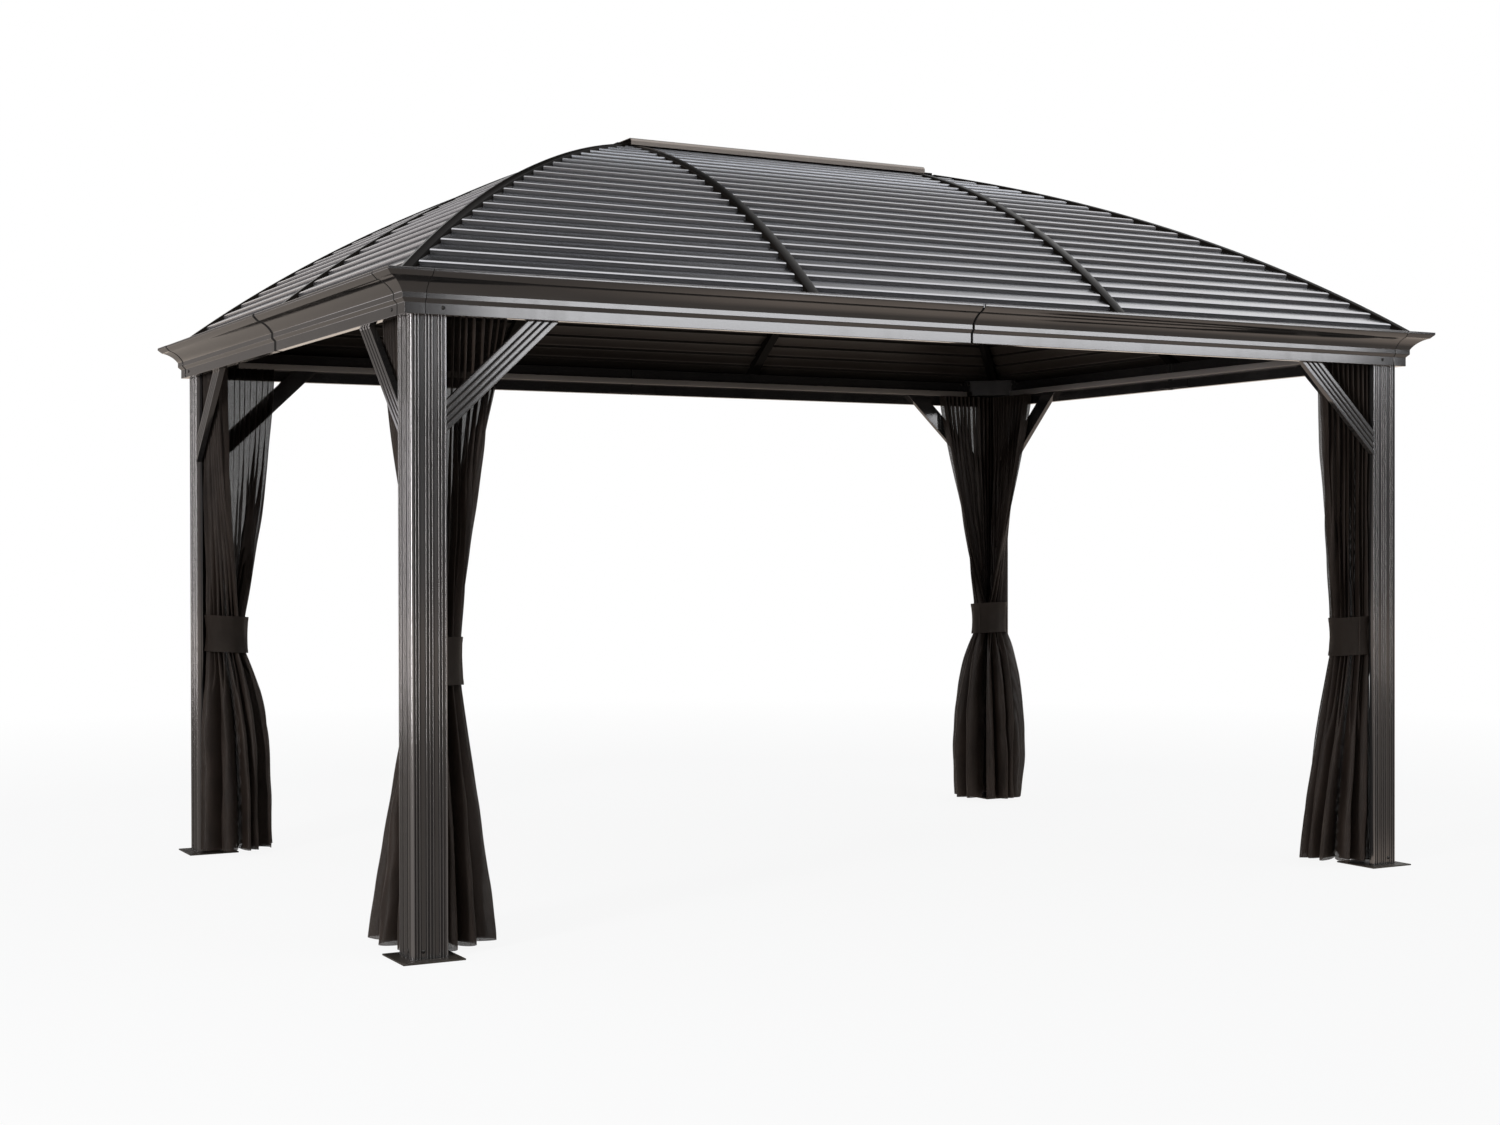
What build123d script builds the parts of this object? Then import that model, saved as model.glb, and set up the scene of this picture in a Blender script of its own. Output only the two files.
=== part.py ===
"""Hard-top garden gazebo: four angle posts, a crown-moulded beam ring and a curved hip roof."""
import math
import os

from build123d import *

# Driving dimensions, in millimetres
# X runs along the long sides, Y along the short sides, Z up from the ground.
roof_length = 4300.0        # lip to lip of the crown, along X
roof_width = 2960.0         # lip to lip of the crown, along Y
clear_height = 1975.0       # ground to the underside of the beams
ridge_height = 2860.0       # ground to the top of the ridge cap

# Crown-moulded beams
beam_height = 130.0         # underside to the top of the lip
beam_back = 106.0           # lip to the flat back of the beam
lip_face = 9.0              # upright nose of the lip
lip_width = 6.0             # top of the lip
lip_rise = 13.0             # lip above the ledge that carries the roof
lip_bevel = 14.0            # bevel under the nose, as deep as it is high
crown_reach = 68.0          # lip to the upper band
cove_sag = 7.0              # depth of the hollow cove under its chord
upper_band_height = 18.0
band_step = 11.0            # slanted step from the upper band to the lower one
lower_band_height = 35.0
corner_reach = 144.0        # length of each arm of a corner piece
corner_proud = 1.5          # corner pieces in front of the faces of the beams
seam_gap = 5.0              # between the two lengths of beam on each side
splice_length = 240.0       # plate over the seam, on the backs of the beams
splice_height = 34.0
splice_thickness = 3.0
splice_lift = 6.0           # beam underside to the splice plate

# Angle posts and their foot plates
leg_width = 117.0
leg_thickness = 24.0
bead_height = 2.0           # beads that run up the outer faces
bead_width = 5.0
bead_shares = (0.145, 0.23, 0.43, 0.52, 0.61, 0.785, 0.87)
corner_bead_width = 7.0
plate_size = 200.0
plate_thickness = 5.0
plate_margin = 41.0         # plate beyond the outer faces of the post
anchor_hole = 11.0
anchor_pitch = 164.0

# Knee braces
brace_drop = 354.0          # beam underside to the lower edge of the brace at the post
brace_run = 374.0           # post to the lower edge of the brace at the beam underside
brace_width = 70.0
brace_thickness = 22.0
brace_lap = 45.0            # height of the brace behind the beam
brace_groove_width = 6.0
brace_groove_depth = 2.0
brace_groove_shares = (0.25, 0.5, 0.75)

# Corner gussets and curtain rails on the backs of the beams
gusset_face = 216.0         # width of the slanted face across the corner
gusset_height = 75.0
gusset_flange = 32.0
gusset_thickness = 4.0
rail_depth = 44.0
rail_height = 24.0
rail_lift = 47.0            # beam underside to the underside of the rail
rail_end_gap = 12.0         # rail end to the gusset flange
rail_wall = 5.0
rail_slot = 10.0

# Curved roof
eave_inset = 48.0           # lip to the foot of the roof curve
crest_drop = 17.0           # top of the ridge cap to where the two roof curves would meet
roof_bulge = 95.0           # rise of the roof curve above its chord
lap_count = 23              # stepped laps from the eave to the ridge
lap_depth = 15.0
lap_riser = 9.0             # run of the short step under each nose
panel_thickness = 3.0
rib_width = 42.0
rib_proud = 4.0             # rib above the noses of the panels
rib_below = 40.0
rib_inset = 25.0            # long-side ribs in from the ends of the ridge line
seat_clearance = 0.3

# Ridge
ridge_beam_width = 90.0
ridge_beam_height = 75.0
ridge_beam_past = 60.0      # ridge beam past the ends of the ridge line
ridge_beam_rise = 8.0       # ridge beam up inside the cap
spine_width = 60.0          # raised spine of the ridge beam that carries the cap
spine_inset = 20.0          # spine ends in from the ends of the cap
cap_width = 130.0
cap_height = 28.0
cap_past = 10.0             # ridge cap past the ends of the ridge line
cap_wall = 3.0
cap_round = 15.0

# Gathered netting, one bundle in each corner, and its tie band
net_top_spread = 330.0      # reach along each rail from the inner corner
net_top_width = 30.0
net_top_cut = 10.0          # corners cut off the gathered top
net_waist = 165.0           # across the bundle under the tie band
net_hem = 290.0             # across the flared hem
net_hem_lift = 15.0         # hem above the ground
net_clearance = 2.0         # netting to the inner faces of the post
band_height = 150.0
band_middle = 908.0         # ground to the middle of the tie band
band_thickness = 5.0

overrun = 60.0              # how far cutting shapes reach past the work

lip_x = -roof_length / 2
lip_y = -roof_width / 2
lip_top = clear_height + beam_height
ledge = lip_top - lip_rise
crown_foot = clear_height + lower_band_height + band_step + upper_band_height
lower_band_inset = crown_reach + band_step
half_width = roof_width / 2
ridge_line = (roof_length - roof_width) / 2
rib_x = ridge_line - rib_inset
post_inner = beam_back + leg_thickness
leg_end = beam_back + leg_width
side_clear = rib_width / 2 + seat_clearance
hip_clear = side_clear * math.sqrt(2)
ridge_beam_top = ridge_height - cap_height + ridge_beam_rise
spine_top = ridge_height - cap_wall
crest_height = ridge_height - crest_drop

corners = {
    "front_left": (-1, -1),
    "front_right": (1, -1),
    "back_left": (-1, 1),
    "back_right": (1, 1),
}

nodes = {}


def at_corner(shape, x_side, y_side):
    """Mirror a shape of the front left corner into another corner."""
    if x_side > 0:
        shape = mirror(shape, about=Plane.YZ)
    if y_side > 0:
        shape = mirror(shape, about=Plane.XZ)
    return shape


def outline(*edges):
    return Face(Wire(list(edges)))


def loop(points):
    return Face(Wire.make_polygon([Vector(*point) for point in points], close=True))


def along_x(face, start, end):
    """Run a section, drawn as inset from the front lip against height, along X."""
    plane = Plane(origin=(start, lip_y, 0), x_dir=(0, 1, 0), z_dir=(1, 0, 0))
    return extrude(plane * face, amount=end - start, dir=(1, 0, 0))


def along_y(face, start, end):
    """Run a section, drawn as inset from the left lip against height, along Y."""
    plane = Plane(origin=(lip_x, start, 0), x_dir=(1, 0, 0), z_dir=(0, -1, 0))
    return extrude(plane * face, amount=end - start, dir=(0, 1, 0))


def upright(points, bottom, top):
    """Raise a plan outline, given as insets from the left and front lips."""
    corners_in_plan = [(lip_x + along, lip_y + across) for along, across in points]
    return extrude(Pos(0, 0, bottom) * loop(corners_in_plan), amount=top - bottom, dir=(0, 0, 1))


def cornice_section(set_back):
    """Lower band, step, upper band, hollow cove and lip, with a flat back and a ledge."""
    cove_top = (set_back + lip_bevel, lip_top - lip_face - lip_bevel)
    cove_foot = (set_back + crown_reach, crown_foot)
    run = cove_foot[0] - cove_top[0]
    fall = cove_top[1] - cove_foot[1]
    chord = math.hypot(run, fall)
    cove_middle = (
        (cove_top[0] + cove_foot[0]) / 2 + cove_sag * fall / chord,
        (cove_top[1] + cove_foot[1]) / 2 + cove_sag * run / chord,
    )
    straight = Polyline(
        cove_foot,
        (set_back + crown_reach, crown_foot - upper_band_height),
        (set_back + lower_band_inset, clear_height + lower_band_height),
        (set_back + lower_band_inset, clear_height),
        (beam_back, clear_height),
        (beam_back, ledge),
        (lip_width, ledge),
        (lip_width, lip_top),
        (set_back, lip_top),
        (set_back, lip_top - lip_face),
        cove_top,
    )
    return outline(*straight.edges(), ThreePointArc(cove_top, cove_middle, cove_foot))


def beams():
    """Two lengths to a side, a seam apart in the middle and a little behind the corners."""
    section = cornice_section(corner_proud)
    front = along_x(section, lip_x + corner_reach, -seam_gap / 2)
    left = along_y(section, lip_y + corner_reach, -seam_gap / 2)
    for name, (x_side, y_side) in corners.items():
        y_name, x_name = name.split("_")
        nodes[f"beam_{y_name}_{x_name}"] = at_corner(front, x_side, y_side)
        nodes[f"beam_{x_name}_{y_name}"] = at_corner(left, x_side, y_side)


def corner_pieces():
    """Mitred corners of the same crown, between the ends of the beams."""
    section = cornice_section(0)
    low = clear_height - overrun
    high = lip_top + overrun
    reach = corner_reach
    front_keep = upright([(0, 0), (reach, 0), (reach, reach)], low, high)
    left_keep = upright([(0, 0), (reach, reach), (0, reach)], low, high)
    front_arm = along_x(section, lip_x, lip_x + reach) & front_keep
    left_arm = along_y(section, lip_y, lip_y + reach) & left_keep
    corner = front_arm + left_arm
    for name, (x_side, y_side) in corners.items():
        nodes[f"corner_{name}"] = at_corner(corner, x_side, y_side)


def splices():
    """Plate over each middle seam, on the backs of the two beams that it joins."""
    low = clear_height + splice_lift
    high = low + splice_height
    face = beam_back + splice_thickness
    section = loop([(beam_back, low), (face, low), (face, high), (beam_back, high)])
    front = along_x(section, -splice_length / 2, splice_length / 2)
    left = along_y(section, -splice_length / 2, splice_length / 2)
    nodes["beam_splices"] = Compound([
        front,
        mirror(front, about=Plane.XZ),
        left,
        mirror(left, about=Plane.YZ),
    ])


def leg_beads():
    """Places of the beads across one leg, as the near and far edge of each."""
    spans = [(0, corner_bead_width)]
    for share in bead_shares:
        middle = share * leg_width
        spans.append((middle - bead_width / 2, middle + bead_width / 2))
    spans.append((leg_width - bead_width, leg_width))
    return spans


def posts():
    """Angle posts, open to the inside, with beads up both outer faces."""
    skin = beam_back + bead_height
    plan = [
        (skin, skin),
        (leg_end, skin),
        (leg_end, post_inner),
        (post_inner, post_inner),
        (post_inner, leg_end),
        (skin, leg_end),
    ]
    post = upright(plan, plate_thickness, ledge)
    strips = []
    for near, far in leg_beads():
        low = beam_back + near
        high = beam_back + far
        strips.append([(low, beam_back), (high, beam_back), (high, skin), (low, skin)])
        strips.append([(beam_back, low), (skin, low), (skin, high), (beam_back, high)])
    post = post + [upright(strip, plate_thickness, ledge) for strip in strips]
    for name, (x_side, y_side) in corners.items():
        nodes[f"post_{name}"] = at_corner(post, x_side, y_side)


def foot_plates():
    near = beam_back - plate_margin
    far = near + plate_size
    plate = upright([(near, near), (far, near), (far, far), (near, far)], 0, plate_thickness)
    middle = near + plate_size / 2
    drill = Cylinder(anchor_hole / 2, plate_thickness + overrun)
    for along in (-anchor_pitch / 2, anchor_pitch / 2):
        for across in (-anchor_pitch / 2, anchor_pitch / 2):
            plate = plate - Pos(lip_x + middle + along, lip_y + middle + across, 0) * drill
    nodes["foot_plates"] = Compound([at_corner(plate, *sides) for sides in corners.values()])


def brace_section_points():
    """Elevation of a leaning brace: inset from the lip against height."""
    lean = math.atan2(brace_drop, brace_run)
    slant = brace_width / math.cos(lean)
    low = clear_height - brace_drop
    top = clear_height + brace_lap
    return [
        (leg_end, low),
        (leg_end + (top - low) / math.tan(lean), top),
        (leg_end + (top - low - slant) / math.tan(lean), top),
        (leg_end, low + slant),
    ]


def knee_braces():
    points = brace_section_points()
    lean = math.atan2(brace_drop, brace_run)
    slant = brace_width / math.cos(lean)
    groove = brace_groove_width / 2 / math.cos(lean)
    run = points[1][0] - points[0][0] + overrun
    front_plane = Plane(origin=(lip_x, lip_y + beam_back, 0), x_dir=(1, 0, 0), z_dir=(0, -1, 0))
    brace = extrude(front_plane * loop(points), amount=brace_thickness, dir=(0, 1, 0))
    for share in brace_groove_shares:
        foot = points[0][1] + share * slant
        below = foot - overrun * math.tan(lean)
        above = foot + run * math.tan(lean)
        strip = [
            (leg_end - overrun, below - groove),
            (leg_end + run, above - groove),
            (leg_end + run, above + groove),
            (leg_end - overrun, below + groove),
        ]
        brace = brace - extrude(front_plane * loop(strip), amount=brace_groove_depth, dir=(0, 1, 0))
    diagonal = Plane(origin=(lip_x, lip_y, 0), z_dir=(1, -1, 0))
    pair = [brace, mirror(brace, about=diagonal)]
    for name, (x_side, y_side) in corners.items():
        nodes[f"knee_braces_{name}"] = Compound([at_corner(each, x_side, y_side) for each in pair])


def gussets():
    """Folded plate across each inner corner, with a flange on each beam."""
    reach = gusset_face / math.sqrt(2)
    skew = gusset_thickness * math.tan(math.radians(22.5))
    near = beam_back
    far = beam_back + reach
    inner = beam_back + gusset_thickness
    plan = [
        (far + gusset_flange, near),
        (far + gusset_flange, inner),
        (far + skew, inner),
        (inner, far + skew),
        (inner, far + gusset_flange),
        (near, far + gusset_flange),
        (near, far),
        (far, near),
    ]
    gusset = upright(plan, lip_top - gusset_height, lip_top)
    nodes["corner_gussets"] = Compound([at_corner(gusset, *sides) for sides in corners.values()])


def rail_section():
    """Track with a slot along its underside for the glides."""
    low = clear_height + rail_lift
    high = low + rail_height
    back = beam_back
    front = beam_back + rail_depth
    slot_middle = front - rail_depth / 4
    return loop([
        (back, low),
        (slot_middle - rail_slot / 2, low),
        (slot_middle - rail_slot / 2, low + rail_wall),
        (slot_middle + rail_slot / 2, low + rail_wall),
        (slot_middle + rail_slot / 2, low),
        (front, low),
        (front, high),
        (back, high),
    ])


def curtain_rails():
    start = beam_back + gusset_face / math.sqrt(2) + gusset_flange + rail_end_gap
    section = rail_section()
    front = along_x(section, lip_x + start, -lip_x - start)
    left = along_y(section, lip_y + start, -lip_y - start)
    nodes["curtain_rails"] = Compound([
        front,
        mirror(front, about=Plane.XZ),
        left,
        mirror(left, about=Plane.YZ),
    ])


def roof_circle():
    """Centre, radius and end angles of the roof curve, from eave to ridge."""
    run = half_width - eave_inset
    rise = crest_height - ledge
    chord = math.hypot(run, rise)
    radius = chord ** 2 / (8 * roof_bulge) + roof_bulge / 2
    back_off = radius - roof_bulge
    centre_u = eave_inset + run / 2 + back_off * rise / chord
    centre_z = ledge + rise / 2 - back_off * run / chord
    first = math.atan2(ledge - centre_z, eave_inset - centre_u)
    last = math.atan2(crest_height - centre_z, half_width - centre_u)
    return centre_u, centre_z, radius, first, last


def roof_point(share, offset):
    """Point on the roof curve, moved out from it by an offset."""
    centre_u, centre_z, radius, first, last = roof_circle()
    angle = first + share * (last - first)
    reach = radius + offset
    return centre_u + reach * math.cos(angle), centre_z + reach * math.sin(angle)


def lap_outline(offset):
    """Stepped laps: each board runs out to a nose that steps over the board below."""
    centre_u, centre_z, radius, first, last = roof_circle()
    riser_share = lap_riser / (radius * (first - last))
    points = [roof_point(-1 / lap_count, offset)]
    for lap in range(lap_count + 1):
        nose_share = lap / lap_count
        points.append(roof_point(nose_share - riser_share, offset - lap_depth))
        points.append(roof_point(nose_share, offset))
    points.append(roof_point(1 + 1 / lap_count - riser_share, offset - lap_depth))
    return points


def panel_section():
    upper = lap_outline(0)
    lower = lap_outline(-panel_thickness)
    return loop(upper + lower[::-1])


def rib_section():
    """Curved bar from under the panels to a little above their noses."""
    ends = (-2 / lap_count, 1 + 1 / lap_count)
    middle = sum(ends) / 2
    top = [roof_point(share, rib_proud) for share in (ends[0], middle, ends[1])]
    bottom = [roof_point(share, -rib_below) for share in (ends[0], middle, ends[1])]
    return outline(
        ThreePointArc(*top),
        Line(top[2], bottom[2]),
        ThreePointArc(*bottom),
        Line(bottom[0], top[0]),
    )


def ridge_box():
    """Space of the ridge beam and everything over it."""
    width = ridge_beam_width / 2
    length = ridge_line + ridge_beam_past
    low = ridge_beam_top - ridge_beam_height
    points = [(-length, -width), (length, -width), (length, width), (-length, width)]
    return extrude(Pos(0, 0, low - overrun) * loop(points), amount=ridge_height, dir=(0, 0, 1))


def panels():
    """Lapped sheets between the ribs: three on each long side and two on each short one."""
    section = panel_section()
    ridge_side = half_width - ridge_beam_width / 2 - seat_clearance
    ridge_end = roof_length / 2 - ridge_line - ridge_beam_past - seat_clearance
    rib_side = roof_length / 2 - rib_x - side_clear
    long_sheet = along_x(section, lip_x, -lip_x)
    short_sheet = along_y(section, lip_y, -lip_y)
    end_plan = [(hip_clear, 0), (rib_side, 0), (rib_side, ridge_side), (ridge_side + hip_clear, ridge_side)]
    near_rib = rib_side + 2 * side_clear
    middle_plan = [
        (near_rib, 0),
        (roof_length - near_rib, 0),
        (roof_length - near_rib, ridge_side),
        (near_rib, ridge_side),
    ]
    short_plan = [
        (0, hip_clear),
        (ridge_end, ridge_end + hip_clear),
        (ridge_end, half_width - side_clear),
        (0, half_width - side_clear),
    ]
    end_sheet = long_sheet & upright(end_plan, ledge, ridge_height)
    middle_sheet = long_sheet & upright(middle_plan, ledge, ridge_height)
    side_sheet = short_sheet & upright(short_plan, ledge, ridge_height)
    for name, (x_side, y_side) in corners.items():
        y_name, x_name = name.split("_")
        nodes[f"panel_{y_name}_{x_name}"] = at_corner(end_sheet, x_side, y_side)
        nodes[f"panel_{x_name}_{y_name}"] = at_corner(side_sheet, x_side, y_side)
    nodes["panel_front_middle"] = middle_sheet
    nodes["panel_back_middle"] = mirror(middle_sheet, about=Plane.XZ)


def ribs():
    """Two ribs on each long side, one on each short side and a hip to each corner."""
    section = rib_section()
    top = ridge_height + overrun
    box = ridge_box()
    half = rib_width / 2
    wide = half * math.sqrt(2)
    ridge_side = half_width - ridge_beam_width / 2
    ridge_end = roof_length / 2 - ridge_line - ridge_beam_past

    rib_middle = roof_length / 2 - rib_x
    rib_plan = [
        (rib_middle - half, 0),
        (rib_middle + half, 0),
        (rib_middle + half, ridge_side),
        (rib_middle - half, ridge_side),
    ]
    rib = along_x(section, lip_x, 0) & upright(rib_plan, ledge, top)

    short_plan = [
        (0, half_width - half),
        (ridge_end, half_width - half),
        (ridge_end, half_width + half),
        (0, half_width + half),
    ]
    short_rib = along_y(section, lip_y, -lip_y) & upright(short_plan, ledge, top)

    front_plan = [(0, 0), (wide, 0), (half_width + wide, half_width), (half_width, half_width)]
    left_plan = [(0, 0), (half_width, half_width), (half_width, half_width + wide), (0, wide)]
    front_half = along_x(section, lip_x, 0) & upright(front_plan, ledge, top)
    left_half = along_y(section, lip_y, -lip_y) & upright(left_plan, ledge, top)
    hip = (front_half + left_half) - box

    for name, (x_side, y_side) in corners.items():
        nodes[f"rib_{name}"] = at_corner(rib, x_side, y_side)
        nodes[f"hip_{name}"] = at_corner(hip, x_side, y_side)
    nodes["rib_left"] = short_rib
    nodes["rib_right"] = mirror(short_rib, about=Plane.YZ)


def ridge():
    width = ridge_beam_width / 2
    length = ridge_line + ridge_beam_past
    low = ridge_beam_top - ridge_beam_height
    points = [(-length, -width), (length, -width), (length, width), (-length, width)]
    beam = extrude(Pos(0, 0, low) * loop(points), amount=ridge_beam_height, dir=(0, 0, 1))

    cap_length = 2 * (ridge_line + cap_past)
    spine = Pos(0, 0, (low + spine_top) / 2) * Box(
        cap_length - 2 * spine_inset,
        spine_width,
        spine_top - low,
    )
    nodes["ridge_beam"] = beam + spine

    outer = Rectangle(cap_width, 2 * cap_height)
    outer = fillet(outer.vertices(), cap_round)
    inner = Rectangle(cap_width - 2 * cap_wall, 2 * (cap_height - cap_wall))
    inner = fillet(inner.vertices(), cap_round - cap_wall)
    lower_half = Pos(0, -cap_height) * Rectangle(2 * cap_width, 2 * cap_height)
    section = outer - inner - lower_half
    end_plane = Plane(
        origin=(-cap_length / 2, 0, ridge_height - cap_height),
        x_dir=(0, 1, 0),
        z_dir=(1, 0, 0),
    )
    nodes["ridge_cap"] = extrude(end_plane * section, amount=cap_length, dir=(1, 0, 0))


def bundle_ring(middle, across, height):
    """Eight-sided outline round a bundle that stands out along the corner's diagonal."""
    half = across / 2
    cut = half * math.tan(math.radians(22.5))
    points = [
        (half, cut),
        (cut, half),
        (-cut, half),
        (-half, cut),
        (-half, -cut),
        (-cut, -half),
        (cut, -half),
        (half, -cut),
    ]
    return Pos(lip_x + middle, lip_y + middle, height) * loop(points)


def rail_outline(inner, height):
    """Outline of the netting under the rails, with its sides along those of the bundle."""
    spread = inner + net_top_spread
    edge = inner + net_top_width
    points = [
        (spread, edge),
        (edge, spread),
        (inner + net_top_cut, spread),
        (inner, spread - net_top_cut),
        (inner, inner + net_top_cut),
        (inner + net_top_cut, inner),
        (spread - net_top_cut, inner),
        (spread, inner + net_top_cut),
    ]
    return Pos(lip_x, lip_y, height) * loop(points)


def netting():
    """Gathered netting: spread along two rails, tied at the waist and flared at the hem."""
    inner = post_inner + net_clearance
    rail_low = clear_height + rail_lift - seat_clearance
    waist_top = band_middle + band_height / 2
    waist_low = band_middle - band_height / 2
    waist_middle = inner + band_thickness + seat_clearance + net_waist / 2
    hem_middle = inner + net_hem / 2
    top = rail_outline(inner, rail_low)
    skirt = loft([
        bundle_ring(hem_middle, net_hem, net_hem_lift),
        bundle_ring(waist_middle, net_waist, waist_low),
    ], ruled=True)
    waist = extrude(bundle_ring(waist_middle, net_waist, waist_low), amount=band_height, dir=(0, 0, 1))
    drape = loft([bundle_ring(waist_middle, net_waist, waist_top), top], ruled=True)
    bundle = skirt + waist + drape
    for name, (x_side, y_side) in corners.items():
        nodes[f"netting_{name}"] = at_corner(bundle, x_side, y_side)

    ring = bundle_ring(waist_middle, net_waist + 2 * (band_thickness + seat_clearance), waist_low)
    hole = bundle_ring(waist_middle, net_waist + 2 * seat_clearance, waist_low)
    tie = extrude(ring - hole, amount=band_height, dir=(0, 0, 1))
    nodes["tie_bands"] = Compound([at_corner(tie, *sides) for sides in corners.values()])


def main():
    foot_plates()
    posts()
    knee_braces()
    beams()
    corner_pieces()
    splices()
    gussets()
    curtain_rails()
    ribs()
    panels()
    ridge()
    netting()
    os.makedirs("parts", exist_ok=True)
    for name, shape in nodes.items():
        export_step(shape, f"parts/{name}.step")
        print(name)


main()
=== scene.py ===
import math
import random

import bmesh
import bpy
from mathutils import Matrix, Vector, noise


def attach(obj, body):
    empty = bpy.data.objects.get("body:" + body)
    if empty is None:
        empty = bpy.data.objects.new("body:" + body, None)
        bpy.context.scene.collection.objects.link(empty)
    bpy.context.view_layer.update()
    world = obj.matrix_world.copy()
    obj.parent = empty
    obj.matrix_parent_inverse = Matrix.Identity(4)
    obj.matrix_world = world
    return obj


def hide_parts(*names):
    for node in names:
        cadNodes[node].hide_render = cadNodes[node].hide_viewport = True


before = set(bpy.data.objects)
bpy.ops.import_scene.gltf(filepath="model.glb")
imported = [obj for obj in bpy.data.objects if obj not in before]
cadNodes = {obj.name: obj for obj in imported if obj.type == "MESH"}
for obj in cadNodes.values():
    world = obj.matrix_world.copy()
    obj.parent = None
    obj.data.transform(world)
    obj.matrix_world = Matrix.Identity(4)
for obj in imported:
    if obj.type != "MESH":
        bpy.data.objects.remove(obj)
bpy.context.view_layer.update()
bodyName = "root"
print("frame loaded:", len(cadNodes), "nodes")

# the gazebo's own sizes in metres, as in the CAD part
gazebo = {
    "length": 4.300,         # lip to lip along X
    "width": 2.960,          # lip to lip along Y
    "ledge": 2.092,          # where the roof stands on the beams
    "beamBack": 0.106,       # lip to the back of the beams
}
cornerSides = {
    "front_left": (-1, -1),
    "front_right": (1, -1),
    "back_left": (-1, 1),
    "back_right": (1, 1),
}
weldReach = 1e-6             # points this close are one point


# small helpers

def addObject(name, mesh):
    piece = bpy.data.objects.new(name, mesh)
    bpy.context.scene.collection.objects.link(piece)
    return piece


def smoothAll(mesh):
    mesh.polygons.foreach_set("use_smooth", [True] * len(mesh.polygons))


def meshFrom(name, points, faces, matrix=Matrix(), smooth=True, closed=True):
    mesh = bpy.data.meshes.new(name)
    mesh.from_pydata([tuple(matrix @ Vector(point)) for point in points], [], faces)
    if closed:
        work = bmesh.new()
        work.from_mesh(mesh)
        bmesh.ops.remove_doubles(work, verts=work.verts, dist=weldReach)
        bmesh.ops.recalc_face_normals(work, faces=work.faces)
        work.to_mesh(mesh)
        work.free()
    if smooth:
        smoothAll(mesh)
    mesh.update()
    return mesh


def stripFaces(low, high, count, around=False):
    # quads between two rows of points, given by the numbers of their first points
    return [(low + step, low + (step + 1) % count, high + (step + 1) % count, high + step)
            for step in range(count if around else count - 1)]


def sharpen(mesh, degrees):
    mesh.set_sharp_from_angle(angle=math.radians(degrees))


def cornerMatrix(xSide, ySide, swapped=False):
    # insets from the front left lips to the frame's own coordinates
    along, across = ((0, 1), (1, 0)) if swapped else ((1, 0), (0, 1))
    start = Matrix(((*along, 0, -gazebo["length"] / 2), (*across, 0, -gazebo["width"] / 2),
                    (0, 0, 1, 0), (0, 0, 0, 1)))
    return Matrix.Diagonal((-xSide, -ySide, 1, 1)) @ start


def placeMesh(mesh, matrix):
    mesh.transform(matrix)
    if matrix.determinant() < 0:
        mesh.flip_normals()
    mesh.update()


def bakeModifiers(piece):
    # turn what the modifiers make into a plain mesh
    graph = bpy.context.evaluated_depsgraph_get()
    made = bpy.data.meshes.new_from_object(piece.evaluated_get(graph))
    old = piece.data
    piece.modifiers.clear()
    piece.data = made
    made.name = piece.name
    bpy.data.meshes.remove(old)
    return piece


def finishPiece(piece, slot, *nodes):
    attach(piece, bodyName)
    if nodes:
        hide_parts(*nodes)
    return piece


# node helpers

def feed(tree, socket, value):
    if isinstance(value, bpy.types.NodeSocket):
        tree.links.new(value, socket)
    else:
        socket.default_value = value


def feedAll(tree, node, inputs):
    for name, value in inputs.items():
        feed(tree, node.inputs[name], value)


def addNode(tree, kind, inputs=None, **settings):
    node = tree.nodes.new(kind)
    for name, value in settings.items():
        setattr(node, name, value)
    feedAll(tree, node, inputs or {})
    return node


def maths(tree, operation, first, second=None, third=None, kind="ShaderNodeMath"):
    node = addNode(tree, kind, operation=operation)
    for socket, value in zip(node.inputs, (first, second, third)):
        if value is not None:
            feed(tree, socket, value)
    return node.outputs[0]


def remap(tree, value, fromLow, fromHigh, toLow, toHigh):
    node = addNode(tree, "ShaderNodeMapRange")
    for socket, number in zip(node.inputs, (value, fromLow, fromHigh, toLow, toHigh)):
        feed(tree, socket, number)
    return node.outputs[0]


socketKinds = {float: "NodeSocketFloat", int: "NodeSocketInt", tuple: "NodeSocketVector"}


def groupTree(name, kind, inputs, outputs, outputKind="NodeSocketFloat"):
    # an input is given by its number, or by its kind where it has none
    tree = bpy.data.node_groups.new(name, kind)
    for label, value in inputs.items():
        socketKind = value if isinstance(value, str) else socketKinds[type(value)]
        socket = tree.interface.new_socket(label, in_out="INPUT", socket_type=socketKind)
        if not isinstance(value, str):
            socket.default_value = value
    for label in outputs:
        tree.interface.new_socket(label, in_out="OUTPUT", socket_type=outputKind)
    return tree, addNode(tree, "NodeGroupInput"), addNode(tree, "NodeGroupOutput")


def endGeometry(tree, made, geometry, finish):
    smooth = addNode(tree, "GeometryNodeSetShadeSmooth", {"Geometry": geometry})
    real = addNode(tree, "GeometryNodeRealizeInstances", {0: smooth.outputs[0]})
    painted = addNode(tree, "GeometryNodeSetMaterial", {"Geometry": real.outputs[0], "Material": finish})
    feed(tree, made.inputs[0], painted.outputs[0])


def setInputs(modifier, values):
    for item in modifier.node_group.interface.items_tree:
        if item.item_type == "SOCKET" and item.in_out == "INPUT" and item.name in values:
            modifier[item.identifier] = values[item.name]


# shared surface effects

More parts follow.
